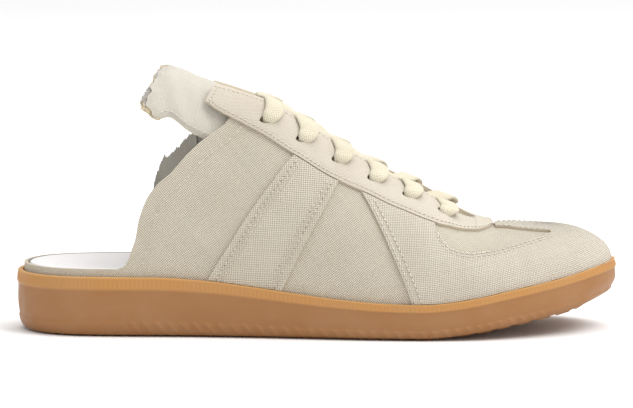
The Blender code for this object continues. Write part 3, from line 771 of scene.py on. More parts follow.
class Finish:
    """One Principled material, with short calls for the nodes behind its colour, bump and roughness."""

    def __init__(self, name, roughness, sheen=0.0, coat=0.0, subsurface=0.0):
        self.material = bpy.data.materials.new(name)
        self.material.use_nodes = True
        self.tree = self.material.node_tree
        self.shader = self.tree.nodes["Principled BSDF"]
        self.shader.inputs["Roughness"].default_value = roughness
        self.shader.inputs["Sheen Weight"].default_value = sheen
        self.shader.inputs["Sheen Roughness"].default_value = 0.6
        self.shader.inputs["Coat Weight"].default_value = coat
        self.shader.inputs["Coat Roughness"].default_value = 0.4
        self.shader.inputs["Subsurface Weight"].default_value = subsurface
        self.shader.inputs["Subsurface Scale"].default_value = 0.002
        self.shader.inputs["Specular IOR Level"].default_value = 0.3

    def node(self, kind, **settings):
        node = self.tree.nodes.new(kind)
        for key, value in settings.items():
            setattr(node, key, value)
        return node

    def put(self, socket, value):
        if isinstance(value, bpy.types.NodeSocket):
            self.tree.links.new(value, socket)
        else:
            socket.default_value = value

    def math(self, operation, *values):
        node = self.node("ShaderNodeMath", operation=operation)
        for socket, value in zip(node.inputs, values):
            self.put(socket, value)
        return node.outputs[0]

    def places(self, source="UV"):
        """The (x, y, z) sockets of cloth places in metres, or of the object's own places."""
        coordinates = self.node("ShaderNodeTexCoord").outputs[source]
        return self.node_links("ShaderNodeSeparateXYZ", coordinates).outputs

    def node_links(self, kind, *values, **settings):
        node = self.node(kind, **settings)
        for socket, value in zip(node.inputs, values):
            self.put(socket, value)
        return node

    def noise(self, scale, detail=2.0, where=None, stretch=None):
        """A cloud of 0 to 1 over the object's own places, or over cloth places."""
        coordinates = self.node("ShaderNodeTexCoord").outputs[where or "Object"]
        if stretch:
            mapping = self.node("ShaderNodeMapping")
            self.put(mapping.inputs["Vector"], coordinates)
            mapping.inputs["Scale"].default_value = stretch
            coordinates = mapping.outputs[0]
        node = self.node("ShaderNodeTexNoise")
        self.put(node.inputs["Vector"], coordinates)
        node.inputs["Scale"].default_value = scale
        node.inputs["Detail"].default_value = detail
        return node.outputs["Fac"]

    def between(self, value, low, high, to_low=0.0, to_high=1.0):
        node = self.node("ShaderNodeMapRange", interpolation_type="SMOOTHSTEP")
        for socket, part in zip(node.inputs, (value, low, high, to_low, to_high)):
            self.put(socket, part)
        return node.outputs[0]

    def blend(self, share, first, second, way="MIX"):
        node = self.node("ShaderNodeMix", data_type="RGBA", blend_type=way)
        self.put(node.inputs[0], share)
        for socket, colour in zip([s for s in node.inputs if s.type == "RGBA"], (first, second)):
            self.put(socket, (*colour, 1) if isinstance(colour, tuple) else colour)
        return [s for s in node.outputs if s.type == "RGBA"][0]

    def pick(self, share, first, second):
        """The first number where share is 0, the second where it is 1."""
        node = self.node("ShaderNodeMix")
        for socket, value in zip((node.inputs[0], node.inputs[2], node.inputs[3]), (share, first, second)):
            self.put(socket, value)
        return node.outputs[0]

    def bump(self, height, distance, strength=1.0):
        """Adds a layer of relief over the bump that is there."""
        node = self.node("ShaderNodeBump")
        node.inputs["Strength"].default_value = strength
        node.inputs["Distance"].default_value = distance
        self.put(node.inputs["Height"], height)
        before = self.shader.inputs["Normal"].links
        if before:
            self.put(node.inputs["Normal"], before[0].from_socket)
        self.put(self.shader.inputs["Normal"], node.outputs[0])

    def colour(self, value):
        if isinstance(value, tuple):
            value = (*value, 1)
            self.material.diffuse_color = value
        self.put(self.shader.inputs["Base Color"], value)


def weave(finish, pitch, slant, loose=0.12):
    """(height, tone) of a plain weave: which thread is on top, and each thread's own shade."""
    x, y, _ = finish.places()
    drift = finish.math("MULTIPLY", finish.math("SUBTRACT", finish.noise(220, 1.0), 0.5), loose * 4)
    turned = math.radians(slant)
    across = finish.math("MULTIPLY", x, math.cos(turned) / pitch)
    across = finish.math("MULTIPLY_ADD", y, math.sin(turned) / pitch, across)
    across = finish.math("ADD", across, drift)
    along = finish.math("MULTIPLY", y, math.cos(turned) / pitch)
    along = finish.math("MULTIPLY_ADD", x, -math.sin(turned) / pitch, along)
    along = finish.math("ADD", along, drift)
    s = finish.math("SINE", finish.math("MULTIPLY", across, math.pi))
    t = finish.math("SINE", finish.math("MULTIPLY", along, math.pi))
    over = finish.math("GREATER_THAN", finish.math("MULTIPLY", s, t), 0.0)
    a, b = finish.math("ABSOLUTE", s), finish.math("ABSOLUTE", t)
    first = finish.math("MULTIPLY", a, finish.math("MULTIPLY_ADD", b, 0.5, 0.5))
    second = finish.math("MULTIPLY", b, finish.math("MULTIPLY_ADD", a, 0.5, 0.5))
    height = finish.pick(over, second, first)
    shades = []
    for place in (across, along):
        thread = finish.math("FLOOR", place)
        white = finish.node("ShaderNodeTexWhiteNoise", noise_dimensions="1D")
        finish.put(white.inputs["W"], thread)
        shades.append(white.outputs["Value"])
    tone = finish.pick(over, shades[1], shades[0])
    return height, tone


def cloth_finish(name, colour, gap_shade_colour, pitch, slant, depth=0.00022, stain=0.10, sheen=0.15):
    """Undyed cotton: threads that pass over and under each other, a little uneven, with painted shade in the
    gaps between them, and soft stains.
    """
    finish = Finish(name, roughness=0.92, sheen=sheen)
    height, tone = weave(finish, pitch, slant)
    finish.bump(height, depth)
    finish.bump(finish.noise(900, 2.0), 0.00006)
    # Painted shade: where the weave sinks between threads, the colour goes to the darker gap shade.
    cover = finish.between(height, 0.05, 0.75)
    shade = finish.blend(cover, gap_shade_colour, colour)
    shade = finish.blend(finish.math("MULTIPLY", tone, 0.10), shade, (0.45, 0.38, 0.27), "MULTIPLY")
    cloud = finish.between(finish.noise(38, 4.0), 0.45, 0.75)
    shade = finish.blend(finish.math("MULTIPLY", cloud, stain), shade, (0.62, 0.54, 0.42), "MULTIPLY")
    finish.colour(shade)
    return finish.material


# The cupsole and the insole

def loop_of(spacing):
    """Loop places round the sole about this far apart, the last at the first again."""
    q = np.linspace(0, 2, 4001)
    run = np.concatenate([[0.0], np.cumsum(np.linalg.norm(np.diff(outline(q), axis=0), axis=1))])
    count = int(run[-1] / spacing / 2) * 2
    return np.interp(np.linspace(0, run[-1], count + 1), run, q), np.linspace(0, run[-1], count + 1)


def towards_middle(edge, share):
    """Points of a ring moved from the sole's edge towards its centre line, square to the shoe."""
    middle = read(LAST, "centre", share_of(edge[..., 0])) * SOLE_WIDTH / 2
    return np.stack([edge[..., 0], middle + (edge[..., 1] - middle) * share], -1)


def sole_tuck(q):
    """How far the lower edge lies inside the outline: more at the heel's back and at the tip of the toe."""
    at = station(q)
    heel, toe = smooth(1 - at / 0.10), smooth(1 - (1 - at) / 0.07)
    return SIDE_TUCK + (HEEL_TUCK_SEEN - SIDE_TUCK) * heel + (TOE_TUCK - SIDE_TUCK) * toe


def lugs(x):
    """1 on a lug of the tread and 0 in a groove. The shank between heel and ball is plain."""
    at = share_of(x)
    phase = np.mod((at - 0.075) * SOLE_LENGTH / LUG_PITCH + 0.5, 1.0) - 0.5
    groove = smooth((LUG_GROOVE / 2 / LUG_PITCH - np.abs(phase)) / 0.05)
    treaded = (at > 0.06) & (at < 0.94) & ~((at > 0.375) & (at < 0.555))
    return 1 - groove * treaded


def outsole(finish):
    q, run = loop_of(0.00062)
    rings, ups = [], []

    def ring(xy, z, up):
        rings.append(np.concatenate([xy, z[:, None]], -1))
        ups.append(up)

    tread_edge = outline(q, sole_tuck(q) + TREAD_BORDER)
    for share in (0.0, 0.15, 0.3, 0.45, 0.6, 0.75, 0.9, 0.97, 1.0):
        xy = towards_middle(tread_edge, share)
        ring(xy, sole_lift(xy[:, 0]) + TREAD_HEIGHT * 0.9 * (1 - lugs(xy[:, 0])) * smooth(share * 40), -0.2)
    xy = outline(q, sole_tuck(q) + TREAD_BORDER - TREAD_HEIGHT)
    ring(xy, sole_lift(xy[:, 0]) + TREAD_HEIGHT, -0.1)
    at = station(q)
    ribbed = smooth((at - 0.17) / 0.03) * smooth((0.90 - at) / 0.04)
    ups_of_wall = np.concatenate(
        [np.linspace(0, 0.32, 20), np.linspace(0.36, 0.74, 7), np.linspace(0.765, 0.985, 16)]
    )
    for up in ups_of_wall:
        tuck = read(SOLE_WALL, "tuck", up)
        step = BAND_STEP * (smooth((up - 0.20) / 0.05) - smooth((up - 0.775) / 0.02))
        low = sole_lift(outline(q)[:, 0]) + TREAD_HEIGHT
        z = low + (sole_top(outline(q)[:, 0]) - low) * up
        knurl = np.maximum(np.cos(2 * np.pi * (run_x(q) + 0.85 * z) / KNURL_PITCH), 0.0) ** 0.8
        knurl *= smooth(up / 0.05) * smooth((0.27 - up) / 0.05) * ribbed
        fine = np.cos(2 * np.pi * run / FINE_RIB_PITCH)
        fine = fine * smooth((up - 0.80) / 0.02) * smooth((0.955 - up) / 0.02)
        inset = sole_tuck(q) * tuck + step - KNURL_RELIEF * knurl - FINE_RIB_RELIEF * fine
        ring(outline(q, inset), z, up)
    for inset, drop, up in LIP_ROWS:
        xy = outline(q, inset)
        ring(xy, sole_top(xy[:, 0]) - drop, up)
    xy = outline(q, RIM_WALL)
    ring(xy, sole_top(xy[:, 0]) - 0.0006, 1.06)
    for share in (1.0, 0.6, 0.0):
        inner = towards_middle(xy, share)
        ring(inner, cup_floor(inner[:, 0]), 1.2)
    return ring_solid("outsole_gum", rings, run, ups, finish)


def run_x(q):
    """The way along the side, counted towards the toe on both sides, so that both are ribbed alike."""
    return outline(q)[:, 0]


def ring_solid(name, rings, run, ups, finish, sharp_angle=50):
    """A closed solid from rings of points whose first and last rings have shrunk to a line."""
    points = np.stack(rings, 1)
    points[-1] = points[0]
    cloth = np.stack(np.broadcast_arrays(run[:, None], ups), -1)
    count = points.shape[0] * points.shape[1]
    flat = points.reshape(-1, 3)
    faces = grid_faces(*points.shape[:2])
    tree = KDTree(count)
    for i, point in enumerate(flat):
        tree.insert(point, i)
    tree.balance()
    first = np.array([min(found[1] for found in tree.find_range(point, SAME_POINT)) for point in flat])
    kept = np.unique(first)
    number = np.zeros(count, int)
    number[kept] = np.arange(len(kept))
    number = number[first]
    loops, corners = [], []
    for face in faces.tolist():
        corner = [i for k, i in enumerate(face) if number[i] != number[face[k - 1]]]
        if len({int(number[i]) for i in corner}) > 2:
            loops.append([int(number[i]) for i in corner])
            corners += corner
    mesh = build_mesh(name, flat[kept], loops, cloth.reshape(-1, 2)[corners], None, sharp_angle)
    return add_object(name, mesh, finish)


def insole(finish):
    q, run = loop_of(0.0016)
    edge = RIM_WALL + UPPER_WALL + 3 * GAP
    rings, ups = [], []
    low_edge = outline(q, edge + 0.0008)
    for share in (0.0, 0.5, 1.0):
        xy = towards_middle(low_edge, share)
        rings.append(np.concatenate([xy, (cup_floor(xy[:, 0]) + GAP)[:, None]], -1))
        ups.append(-0.1)

    def height(x, level, lift):
        heel = smooth((0.62 - share_of(x)) / 0.22)
        thickness = INSOLE_THICKNESS + INSOLE_HEEL_EXTRA * heel
        return cup_floor(x) + GAP + thickness * level + INSOLE_EDGE_LIFT * heel * lift

    for inset, level, lift in (
        (0.0, 0.2, 0.0),
        (0.0, 0.8, 0.8),
        (0.0002, 0.95, 0.95),
        (0.0006, 1.0, 1.0),
        (0.0014, 1.0, 1.0),
        (0.0035, 1.0, 0.72),
        (0.0060, 1.0, 0.42),
        (0.0095, 1.0, 0.13),
        (INSOLE_EDGE_WIDTH, 1.0, 0.0),
    ):
        xy = outline(q, edge + inset)
        rings.append(np.concatenate([xy, height(xy[:, 0], level, lift)[:, None]], -1))
        ups.append(inset)
    inner = outline(q, edge + INSOLE_EDGE_WIDTH)
    for share in np.linspace(0.9, 0.0, 12):
        xy = towards_middle(inner, share)
        worn = -0.0006 * np.exp(-(((xy[:, 0] - x_of(0.16)) / 0.022) ** 2) - (xy[:, 1] / 0.016) ** 2)
        worn += -0.0005 * np.exp(-(((xy[:, 0] - x_of(0.70)) / 0.024) ** 2) - (xy[:, 1] / 0.022) ** 2)
        rings.append(np.concatenate([xy, (height(xy[:, 0], 1.0, 0.0) + worn)[:, None]], -1))
        ups.append(INSOLE_EDGE_WIDTH)
    return ring_solid("insole_pad", rings, run, ups, finish)


# The upper and what is sewn on it

def spaced(*stretches):
    """Places over joined stretches, each given by its start, its end and the spacing in it, as shares."""
    parts = [np.arange(start, end - spacing / 2, spacing) for start, end, spacing in stretches]
    return np.concatenate(parts + [[stretches[-1][1]]])


def punch(q, v, points, holes):
    """Opens oval holes in a grid: corners inside a hole go to its edge, and cells inside it are dropped."""
    inside = np.zeros(q.shape, bool)
    along = unit(np.gradient(points, axis=0))
    upward = unit(np.gradient(points, axis=1))
    for centre, length, height in holes:
        away = points - centre
        a = np.sum(away * along, -1) / (length / 2)
        b = np.sum(away * upward, -1) / (height / 2)
        far = np.hypot(a, b)
        near = (far < 1) & (np.linalg.norm(away, axis=-1) < length)
        push = np.where(near, 1 / np.maximum(far, 0.05) - 1, 0.0)
        points = points + along * (a * push * length / 2)[..., None]
        points = points + upward * (b * push * height / 2)[..., None]
        inside |= near
    return points, lambda i, j: ~(inside[i, j] & inside[i + 1, j] & inside[i, j + 1] & inside[i + 1, j + 1])


def eyelet_at(row):
    return FIRST_EYELET_AT + (LAST_EYELET_AT - FIRST_EYELET_AT) * row / (EYELET_ROWS - 1)


def eyelet_centres():
    """The middle of each eyelet on the face of the last, both sides."""
    at = eyelet_at(np.arange(EYELET_ROWS))
    girth = throat_girth(at, "edge") + EYELET_INSET
    centres = []
    for inner in (False, True):
        q = place_of(at, inner)
        centres += list(last_point(q, v_at_girth(q, girth))[0])
    return centres


def upper(finishes):
    """The quarters and the vamp, one hollow canvas shell with the cut edge left raw."""
    q = spaced((0, turn(0.160), 0.010), (turn(0.160), turn(0.230), 0.0012), (turn(0.230), 1.0, 0.0036))
    q = np.concatenate([q, 2 - q[-2::-1]])
    rows = 46
    top = upper_top(q)
    v = np.concatenate([[-1.0, -0.5], np.linspace(0, 1, rows - 2)])
    v = np.where(v[None, :] < 0, v[None, :], v[None, :] * top[:, None])
    q = np.broadcast_to(q[:, None], v.shape)
    points, normals = last_point(q, v)
    points[-1] = points[0]
    cloth = cloth_on_last(q, v)
    holes = [(centre, EYELET_LENGTH * 1.2, EYELET_HEIGHT * 1.2) for centre in eyelet_centres()]
    points, kept = punch(q, v, points, holes)
    patch = patch_of(points, normals, cloth, kept)
    return skin("upper_canvas", patch, -UPPER_WALL, 0.0, finishes)


def eyestay_grid(columns, rows):
    """(q, v) round the throat: the outer side from back to front, then the inner side back again."""
    rear_slant = EYESTAY_REAR_HIGH - EYESTAY_REAR_LOW
    at = spaced((EYESTAY_REAR_HIGH, 0.760, 0.0022), (0.760, EYESTAY_FRONT, 0.0012))
    slant = smooth(1 - (at - EYESTAY_REAR_HIGH) / 0.03)
    up = np.linspace(0, 1, rows)
    here = at[:, None] + slant[:, None] * rear_slant * (up[None, :] - 1)
    sides = []
    for inner in (False, True):
        q = place_of(here, inner)
        low = v_at_girth(q, throat_girth(here, "eyestay"))
        high = np.where(here >= THROAT_FRONT, 1.0, v_at_girth(q, throat_girth(here, "edge")))
        sides.append((q, low + (high - low) * up[None, :], here))
    (q, v, here), (q_in, v_in, here_in) = sides
    both = ((q, q_in), (v, v_in), (here, here_in))
    return tuple(np.concatenate([outer, inner[-2::-1]]) for outer, inner in both)


def eyestay(finishes):
    """The facing round the throat, a thick raw-edged piece with a punched hole for each turn of the lace."""
    q, v, here = eyestay_grid(0, 30)
    points, normals = last_point(q, v)
    from_ridge = np.linalg.norm(points - points[:, -1:], axis=-1)
    cloth = np.stack([x_of(here), np.where(is_inner(q), 1, -1) * from_ridge], -1)
    holes = [(centre, EYELET_LENGTH, EYELET_HEIGHT) for centre in eyelet_centres()]
    points, kept = punch(q, v, points, holes)
    up = np.linspace(0, 1, v.shape[1])
    edge_roll = -0.0003 * np.exp(-((up / 0.03) ** 2)) - 0.0003 * np.exp(-(((1 - up) / 0.03) ** 2))
    seam = -0.00025 * np.exp(-(((up - 0.085) / 0.03) ** 2))
    high = np.broadcast_to(GAP + EYESTAY_THICKNESS + edge_roll + seam, v.shape).ravel()
    patch = patch_of(points, normals, cloth, kept)
    return skin("eyestay_facing", patch, 0.00005, high, finishes)


def band_places(share, up, inner):
    """(q, v) of the side band: share runs from its rear seam to its front one, up from sole to eyestay."""
    at = read(SEAMS, "rear", up) + (read(SEAMS, "front", up) - read(SEAMS, "rear", up)) * share
    q = place_of(at, inner)
    low, high = panel_bottom(q), panel_top(q)
    top = swell(high, section(q)[2])[1]
    return q, np.maximum(v_at_rise(q, top * up), low)


def side_band(name, inner, finishes):
    """The slanting band, folded under along its front seam and pulled down by its stitches."""
    share, up = np.meshgrid(np.linspace(0, 1, 46), np.linspace(0, 1, 76), indexing="ij")
    q, v = band_places(share, up, inner)
    points, _ = last_point(q, v)
    cloth = np.stack([points[..., 0], points[..., 2]], -1)
    width = 0.0345
    fold = 0.0004 * np.exp(-(((share - 1) * width / 0.0012) ** 2))
    fold = fold + 0.0003 * np.exp(-((share * width / 0.0010) ** 2))
    seams = sum(np.exp(-(((share - s) * width / 0.0007) ** 2)) for s in BAND_STITCHES)
    high = GAP + PANEL_THICKNESS + fold - 0.0003 * seams
    patch = patch_on_last(q, v, cloth)
    return skin(name, patch, 0.00005, high.ravel(), finishes)


def guard_places(at, inner, rows):
    """(q, v) columns of the toe guard ahead of its window's rear end: the lower part, then the stem."""
    q = place_of(at, inner)
    low = panel_bottom(q)
    edge = np.minimum(v_at_rise(q, read(WINDOW, "low", at)), panel_top(q))
    stem = v_at_rise(q, read(WINDOW, "high", at))
    lower = low[:, None] + (edge - low)[:, None] * np.linspace(0, 1, rows[0])
    upper_part = stem[:, None] + (1 - stem)[:, None] * np.linspace(0, 1, rows[1])
    v = np.concatenate([lower, upper_part], 1)
    return np.broadcast_to(q[:, None], v.shape), v


def guard_rear_places(share, inner, rows):
    """(q, v) columns between the guard's rear seam, share 0, and the rear end of its window, share 1."""
    up = np.linspace(0, 1, rows[0])
    seam = read(SEAMS, "guard", up)
    at = seam[None, :] + (WINDOW_REAR - seam)[None, :] * share[:, None]
    q = place_of(at, inner)
    low, top = panel_bottom(q), swell(panel_top(q), section(q)[2])[1]
    v = np.maximum(v_at_rise(q, top * up[None, :]), low)
    q = np.concatenate([q, np.repeat(q[:, -1:], rows[1], 1)], 1)
    return q, np.concatenate([v, np.ones((len(share), rows[1]))], 1)


def toe_guard(finishes):
    """The panel round the toe, with a stem up the middle to the eyestay and a window on each side of it."""
    rows = (40, 9)
    ahead = spaced((WINDOW_REAR + 0.001, WINDOW_FRONT, 0.0036))
    tip = 1 - (1 - WINDOW_FRONT) * (1 - np.linspace(0, 1, 26)) ** 2
    ahead = np.concatenate([ahead, tip[1:]])
    behind = np.linspace(0, 1, 30)
    sides = []
    for inner in (False, True):
        q_rear, v_rear = guard_rear_places(behind, inner, rows)
        q_ahead, v_ahead = guard_places(ahead, inner, rows)
        sides.append((np.concatenate([q_rear, q_ahead]), np.concatenate([v_rear, v_ahead])))
    (q, v), (q_in, v_in) = sides
    q = np.concatenate([q, q_in[-2::-1]])
    v = np.concatenate([v, v_in[-2::-1]])
    at = np.concatenate([np.full(len(behind), WINDOW_REAR), ahead])
    at = np.concatenate([at, at[-2::-1]])

    def kept(i, j):
        middle = (at[i] + at[i + 1]) / 2
        in_stem, in_window = j >= rows[0], j == rows[0] - 1
        return ~((in_stem & (middle < STEM_REAR)) | (in_window & (middle < WINDOW_FRONT)))

    points, normals = last_point(q, v)
    cloth = cloth_on_last(q, v)
    level = GAP + PANEL_THICKNESS
    patch = patch_of(points, normals, cloth, kept)
    return skin("toe_guard_canvas", patch, 0.00005, level, finishes)


# The tongue

def tongue_places(out, share):
    """(q, v, at) on the tongue: out is -1 to 1 across it, share 0 at its torn end, 1 at the throat's front."""
    rear = read(TORN_END, "at", np.abs(out))
    at = rear + (TONGUE_FRONT - rear) * share
    q = place_of(at, out > 0)
    reach = np.abs(out) * read(TONGUE, "half", at) * TONGUE_WIDTH / 2
    return q, v_at_girth(q, reach), at


def tongue(finishes):
    """A padded sheet under the throat, pressed down by the laces, its torn end open."""
    out, share = np.meshgrid(np.linspace(-1, 1, 71), np.linspace(0, 1, 150), indexing="ij")
    q, v, at = tongue_places(out, share)
    points, normals = last_point(q, v)
    press = read(TONGUE, "press", at)
    depth = UPPER_WALL + GAP + TONGUE_PRESS * press
    bite = sum(np.exp(-(((at - eyelet_at(row + 0.5)) / 0.012) ** 2)) for row in range(EYELET_ROWS - 1))
    puff = -0.0006 * bite * press + 0.0002 * np.sin(at * 160 + out * 5) * (1 - press)
    rough = 0.0010 * np.sin(out * 37) * np.sin(out * 11 + 2) * (1 - smooth(share / 0.04))
    points = points + normals * (puff - depth)[..., None]
    points[..., 0] += rough
    edge = smooth((1 - np.abs(out)) / 0.05)
    thickness = TONGUE_THICKNESS * (0.35 + 0.65 * edge)
    middle = TONGUE_THICKNESS / 2
    cloth = cloth_places(points.transpose(1, 0, 2)).transpose(1, 0, 2)[..., ::-1]
    patch = patch_of(points, normals, cloth)
    low = -middle - thickness / 2
    high = -middle + thickness / 2
    return skin("tongue_pad", patch, low.ravel(), high.ravel(), finishes)


def torn_layer(name, out_from, out_to, low, high, reach, seed, finish):
    """A layer of the tongue that hangs out of its torn end, ragged, between two depths under its face."""
    rng = np.random.default_rng(seed)
    out, share = np.meshgrid(np.linspace(out_from, out_to, 40), np.linspace(0, 1, 10), indexing="ij")
    ragged = np.convolve(rng.uniform(0.15, 1.0, 44), np.ones(5) / 5, "valid") + rng.uniform(-0.12, 0.12, 40)
    ragged *= np.sin(np.pi * np.linspace(0.06, 0.94, 40)) ** 0.5
    rear = read(TORN_END, "at", np.abs(out))
    at = rear + 0.006 - (0.006 + reach * ragged[:, None] / SOLE_LENGTH) * (1 - share)
    q = place_of(at, out > 0)
    v = v_at_girth(q, np.abs(out) * read(TONGUE, "half", at) * TONGUE_WIDTH / 2)
    points, normals = last_point(q, v, -(UPPER_WALL + GAP))
    lump = rng.normal(0, 0.00025, q.shape)
    thin = 0.35 + 0.65 * smooth(share * 3)
    middle = -(low + high) / 2
    points = points + normals * (lump * (high - low) / 0.002)[..., None]
    patch = patch_of(points, normals, cloth_places(points))
    half = (high - low) / 2 * thin.ravel()
    return skin(name, patch, middle - half, middle + half, [finish])


def torn_lining(finish):
    """The rag of lining left along the inner quarter's cut edge."""
    rng = np.random.default_rng(11)
    at, share = np.meshgrid(np.linspace(0.222, 0.300, 60), np.linspace(0, 1, 8), indexing="ij")
    ragged = np.convolve(rng.uniform(0.0, 1.0, 64), np.ones(5) / 5, "valid") + rng.uniform(-0.15, 0.15, 60)
    q = place_of(at, True)
    top = upper_top(q)
    v = top - 0.04 + (0.04 + 0.05 * ragged[:, None]) * share
    points, normals = last_point(q, v)
    patch = patch_of(points, normals, cloth_places(points))
    return skin("quarter_lining_rag", patch, -UPPER_WALL - 0.0007, -UPPER_WALL - 0.0002, [finish])


# The lacing

def lace_stops():
    """(at, offset, level, width) of one whole lace: from its hidden end, down one run of the crossings, under
    throat's front, up the other side, and over the last row. Offset is minus on the outer side."""
    over = GAP + EYESTAY_THICKNESS + LACE_THICKNESS / 2 + 0.0002
    under = UPPER_WALL + GAP + LACE_THICKNESS / 2

    def stops_of(run, row, next_row, way):
        start, end = eyelet_at(row), eyelet_at(next_row)
        near, far = throat_girth(start, "edge"), throat_girth(end, "edge")
        places = []
        for stop in run:
            if abs(stop.offset) <= 1:
                offset = stop.offset * (near if stop.offset > 0 else far)
            elif stop.offset > 0:
                offset = near + (stop.offset - 1) * EYELET_INSET
            else:
                offset = -far + (stop.offset + 1) * EYELET_INSET
            t = min((near + EYELET_INSET - offset) / (near + far + 1.3 * EYELET_INSET), 1.0)
            level = stop.level * (over if stop.level > 0 else under)
            lean = np.interp(abs(stop.offset), (0, 1.1, 1.6, 2.02), (0, 1, 1, 0.3))
            lean = lean * (stop.offset > 0 or level > 0)
            at = start + (end - start) * smooth(t) + LACE_LEAN * lean
            places.append((at, way * offset, level, stop.width))
        return places

    def strand(side, first_over):
        places = []
        for row in range(EYELET_ROWS - 1):
            even = row % 2 == 0
            run = OVER_RUN if first_over == even else UNDER_RUN
            places += stops_of(run, row, row + 1, side if even else -side)
        return places

    down = list(reversed(strand(-1, True)))
    front = stops_of(FRONT_RUN, 0, 0, -1)
    last = stops_of(BAR_RUN, EYELET_ROWS - 1, EYELET_ROWS - 1, -1)
    return down + front + strand(1, False) + last


def through(values, run, places):
    """A smooth curve through values at the runs, read at other places."""
    slopes = np.gradient(values, run, axis=0)
    i = np.clip(np.searchsorted(run, places) - 1, 0, len(run) - 2)
    span = (run[i + 1] - run[i])[:, None]
    t = ((places - run[i]) / (run[i + 1] - run[i]))[:, None]
    return (
        (2 * t**3 - 3 * t**2 + 1) * values[i]
        + (t**3 - 2 * t**2 + t) * slopes[i] * span
        + (3 * t**2 - 2 * t**3) * values[i + 1]
        + (t**3 - t**2) * slopes[i + 1] * span
    )


def lace(finish):
    """A flat, soft lace with rounded edges. It narrows where it dives through an eyelet."""
    stops = np.array(lace_stops())
    at, offset, level, width = stops.T
    q = place_of(at, offset > 0)
    centres, _ = last_point(q, v_at_girth(q, np.abs(offset)), level)
    run = np.concatenate([[0.0], np.cumsum(np.linalg.norm(np.diff(centres, axis=0), axis=1))])
    places = np.arange(0, run[-1], 0.0009)
    centres = through(centres, run, places)
    width = np.interp(places, run, width)
    along = unit(np.gradient(centres, axis=0))
    length_way = np.tile([np.cos(INSTEP_SLOPE), 0.0, -np.sin(INSTEP_SLOPE)], (len(places), 1))
    side = unit(length_way - along * np.sum(length_way * along, -1, keepdims=True))
    up = unit(np.cross(side, along))
    ring = 18
    turned = np.linspace(0, 2 * np.pi, ring, endpoint=False)
    flat = np.sign(np.cos(turned)) * np.abs(np.cos(turned)) ** 0.85 * LACE_WIDTH / 2
    tall = np.sign(np.sin(turned)) * np.abs(np.sin(turned)) ** 0.8 * LACE_THICKNESS / 2
    thick = 1 + 0.35 * (1 - width)
    points = centres[:, None] + side[:, None] * (flat * width[:, None])[..., None]
    points += up[:, None] * (tall * thick[:, None])[..., None]
    a = (np.arange(len(places) - 1)[:, None] * ring + np.arange(ring)).ravel()
    b = (np.arange(len(places) - 1)[:, None] * ring + (np.arange(ring) + 1) % ring).ravel()
    loops = np.stack([a, b, b + ring, a + ring], -1).tolist()
    loops.append(list(range(ring))[::-1])
    loops.append([(len(places) - 1) * ring + k for k in range(ring)])
    k = np.arange(ring + 1) / ring * (LACE_WIDTH + LACE_THICKNESS) * 2
    corners = []
    for i in range(len(places) - 1):
        for j in range(ring):
            near, far = places[i], places[i + 1]
            corners += [(k[j], near), (k[j + 1], near), (k[j + 1], far), (k[j], far)]
    corners += [(0.0, 0.0)] * (2 * ring)
    mesh = build_mesh("lace_cotton_flat", points.reshape(-1, 3), loops, corners, None, 60)
    return add_object("lace_cotton_flat", mesh, finish)


# Thread: stitches, and the painted shade of needle holes

def evenly(route, pitch):
    """(points, directions, normals) at equal steps along a route of (points, normals)."""
    points, normals = route
    run = np.concatenate([[0.0], np.cumsum(np.linalg.norm(np.diff(points, axis=0), axis=1))])
    places = np.arange(pitch / 2, run[-1], pitch)
    centres = np.stack([np.interp(places, run, points[:, k]) for k in range(3)], -1)
    ahead = np.minimum(places + pitch / 4, run[-1])
    ends = np.stack([np.interp(ahead, run, points[:, k]) for k in range(3)], -1)
    up = unit(np.stack([np.interp(places, run, normals[:, k]) for k in range(3)], -1))
    return centres, unit(ends - centres), up


def tubes(name, stations, radii, finish):
    """One mesh of many thin threads. stations is (threads, steps, 3), and radii (threads, steps, 2)."""
    count, steps, _ = stations.shape
    along = unit(np.gradient(stations, axis=1))
    helper = np.where(np.abs(along[..., 2:]) > 0.9, np.array([1.0, 0, 0]), np.array([0, 0, 1.0]))
    side = unit(np.cross(along, helper))
    up = np.cross(side, along)
    sides = 6
    turned = np.linspace(0, 2 * np.pi, sides, endpoint=False)
    points = stations[:, :, None] + side[:, :, None] * (np.cos(turned) * radii[..., :1])[..., None]
    points = points + up[:, :, None] * (np.sin(turned) * radii[..., 1:])[..., None]
    base = np.arange(count)[:, None, None] * steps * sides
    step = np.arange(steps - 1)[None, :, None] * sides
    a = base + step + np.arange(sides)
    b = base + step + (np.arange(sides) + 1) % sides
    loops = np.stack([a, b, b + sides, a + sides], -1).reshape(-1, 4).tolist()
    starts = (np.arange(count) * steps * sides).tolist()
    loops += [[start + k for k in reversed(range(sides))] for start in starts]
    loops += [[start + (steps - 1) * sides + k for k in range(sides)] for start in starts]
    corners = np.zeros((sum(len(loop) for loop in loops), 2))
    mesh = build_mesh(name, points.reshape(-1, 3), loops, corners, None, 80)
    return add_object(name, mesh, finish)


def stitches(name, routes, finish, pitch=None):
    """Short bowed threads along the routes, each one sunk at both ends."""
    pitch = pitch or STITCH_PITCH
    rng = np.random.default_rng(len(name))
    parts = [evenly(route, pitch) for route in routes]
    centres, ways, ups = (np.concatenate([part[k] for part in parts]) for k in range(3))
    ways = unit(ways + np.cross(ups, ways) * rng.uniform(-0.12, 0.12, (len(ways), 1)))
    t = np.linspace(-1, 1, 6)
    length = STITCH_LENGTH * pitch / STITCH_PITCH * rng.uniform(0.9, 1.05, (len(ways), 1))
    stations = centres[:, None] + ways[:, None] * (t * length / 2)[..., None]
    stations += ups[:, None] * ((STITCH_HEIGHT * 1.3 * (1 - t**2) - 0.4 * STITCH_HEIGHT)[:, None])
    radii = np.stack([np.full(t.shape, STITCH_WIDTH / 2), np.full(t.shape, STITCH_HEIGHT / 2)], -1)
    radii = radii * (0.45 + 0.55 * np.sqrt(1 - t**2 * 0.98))[:, None]
    return tubes(name, stations, np.broadcast_to(radii, (len(ways), 6, 2)), finish)


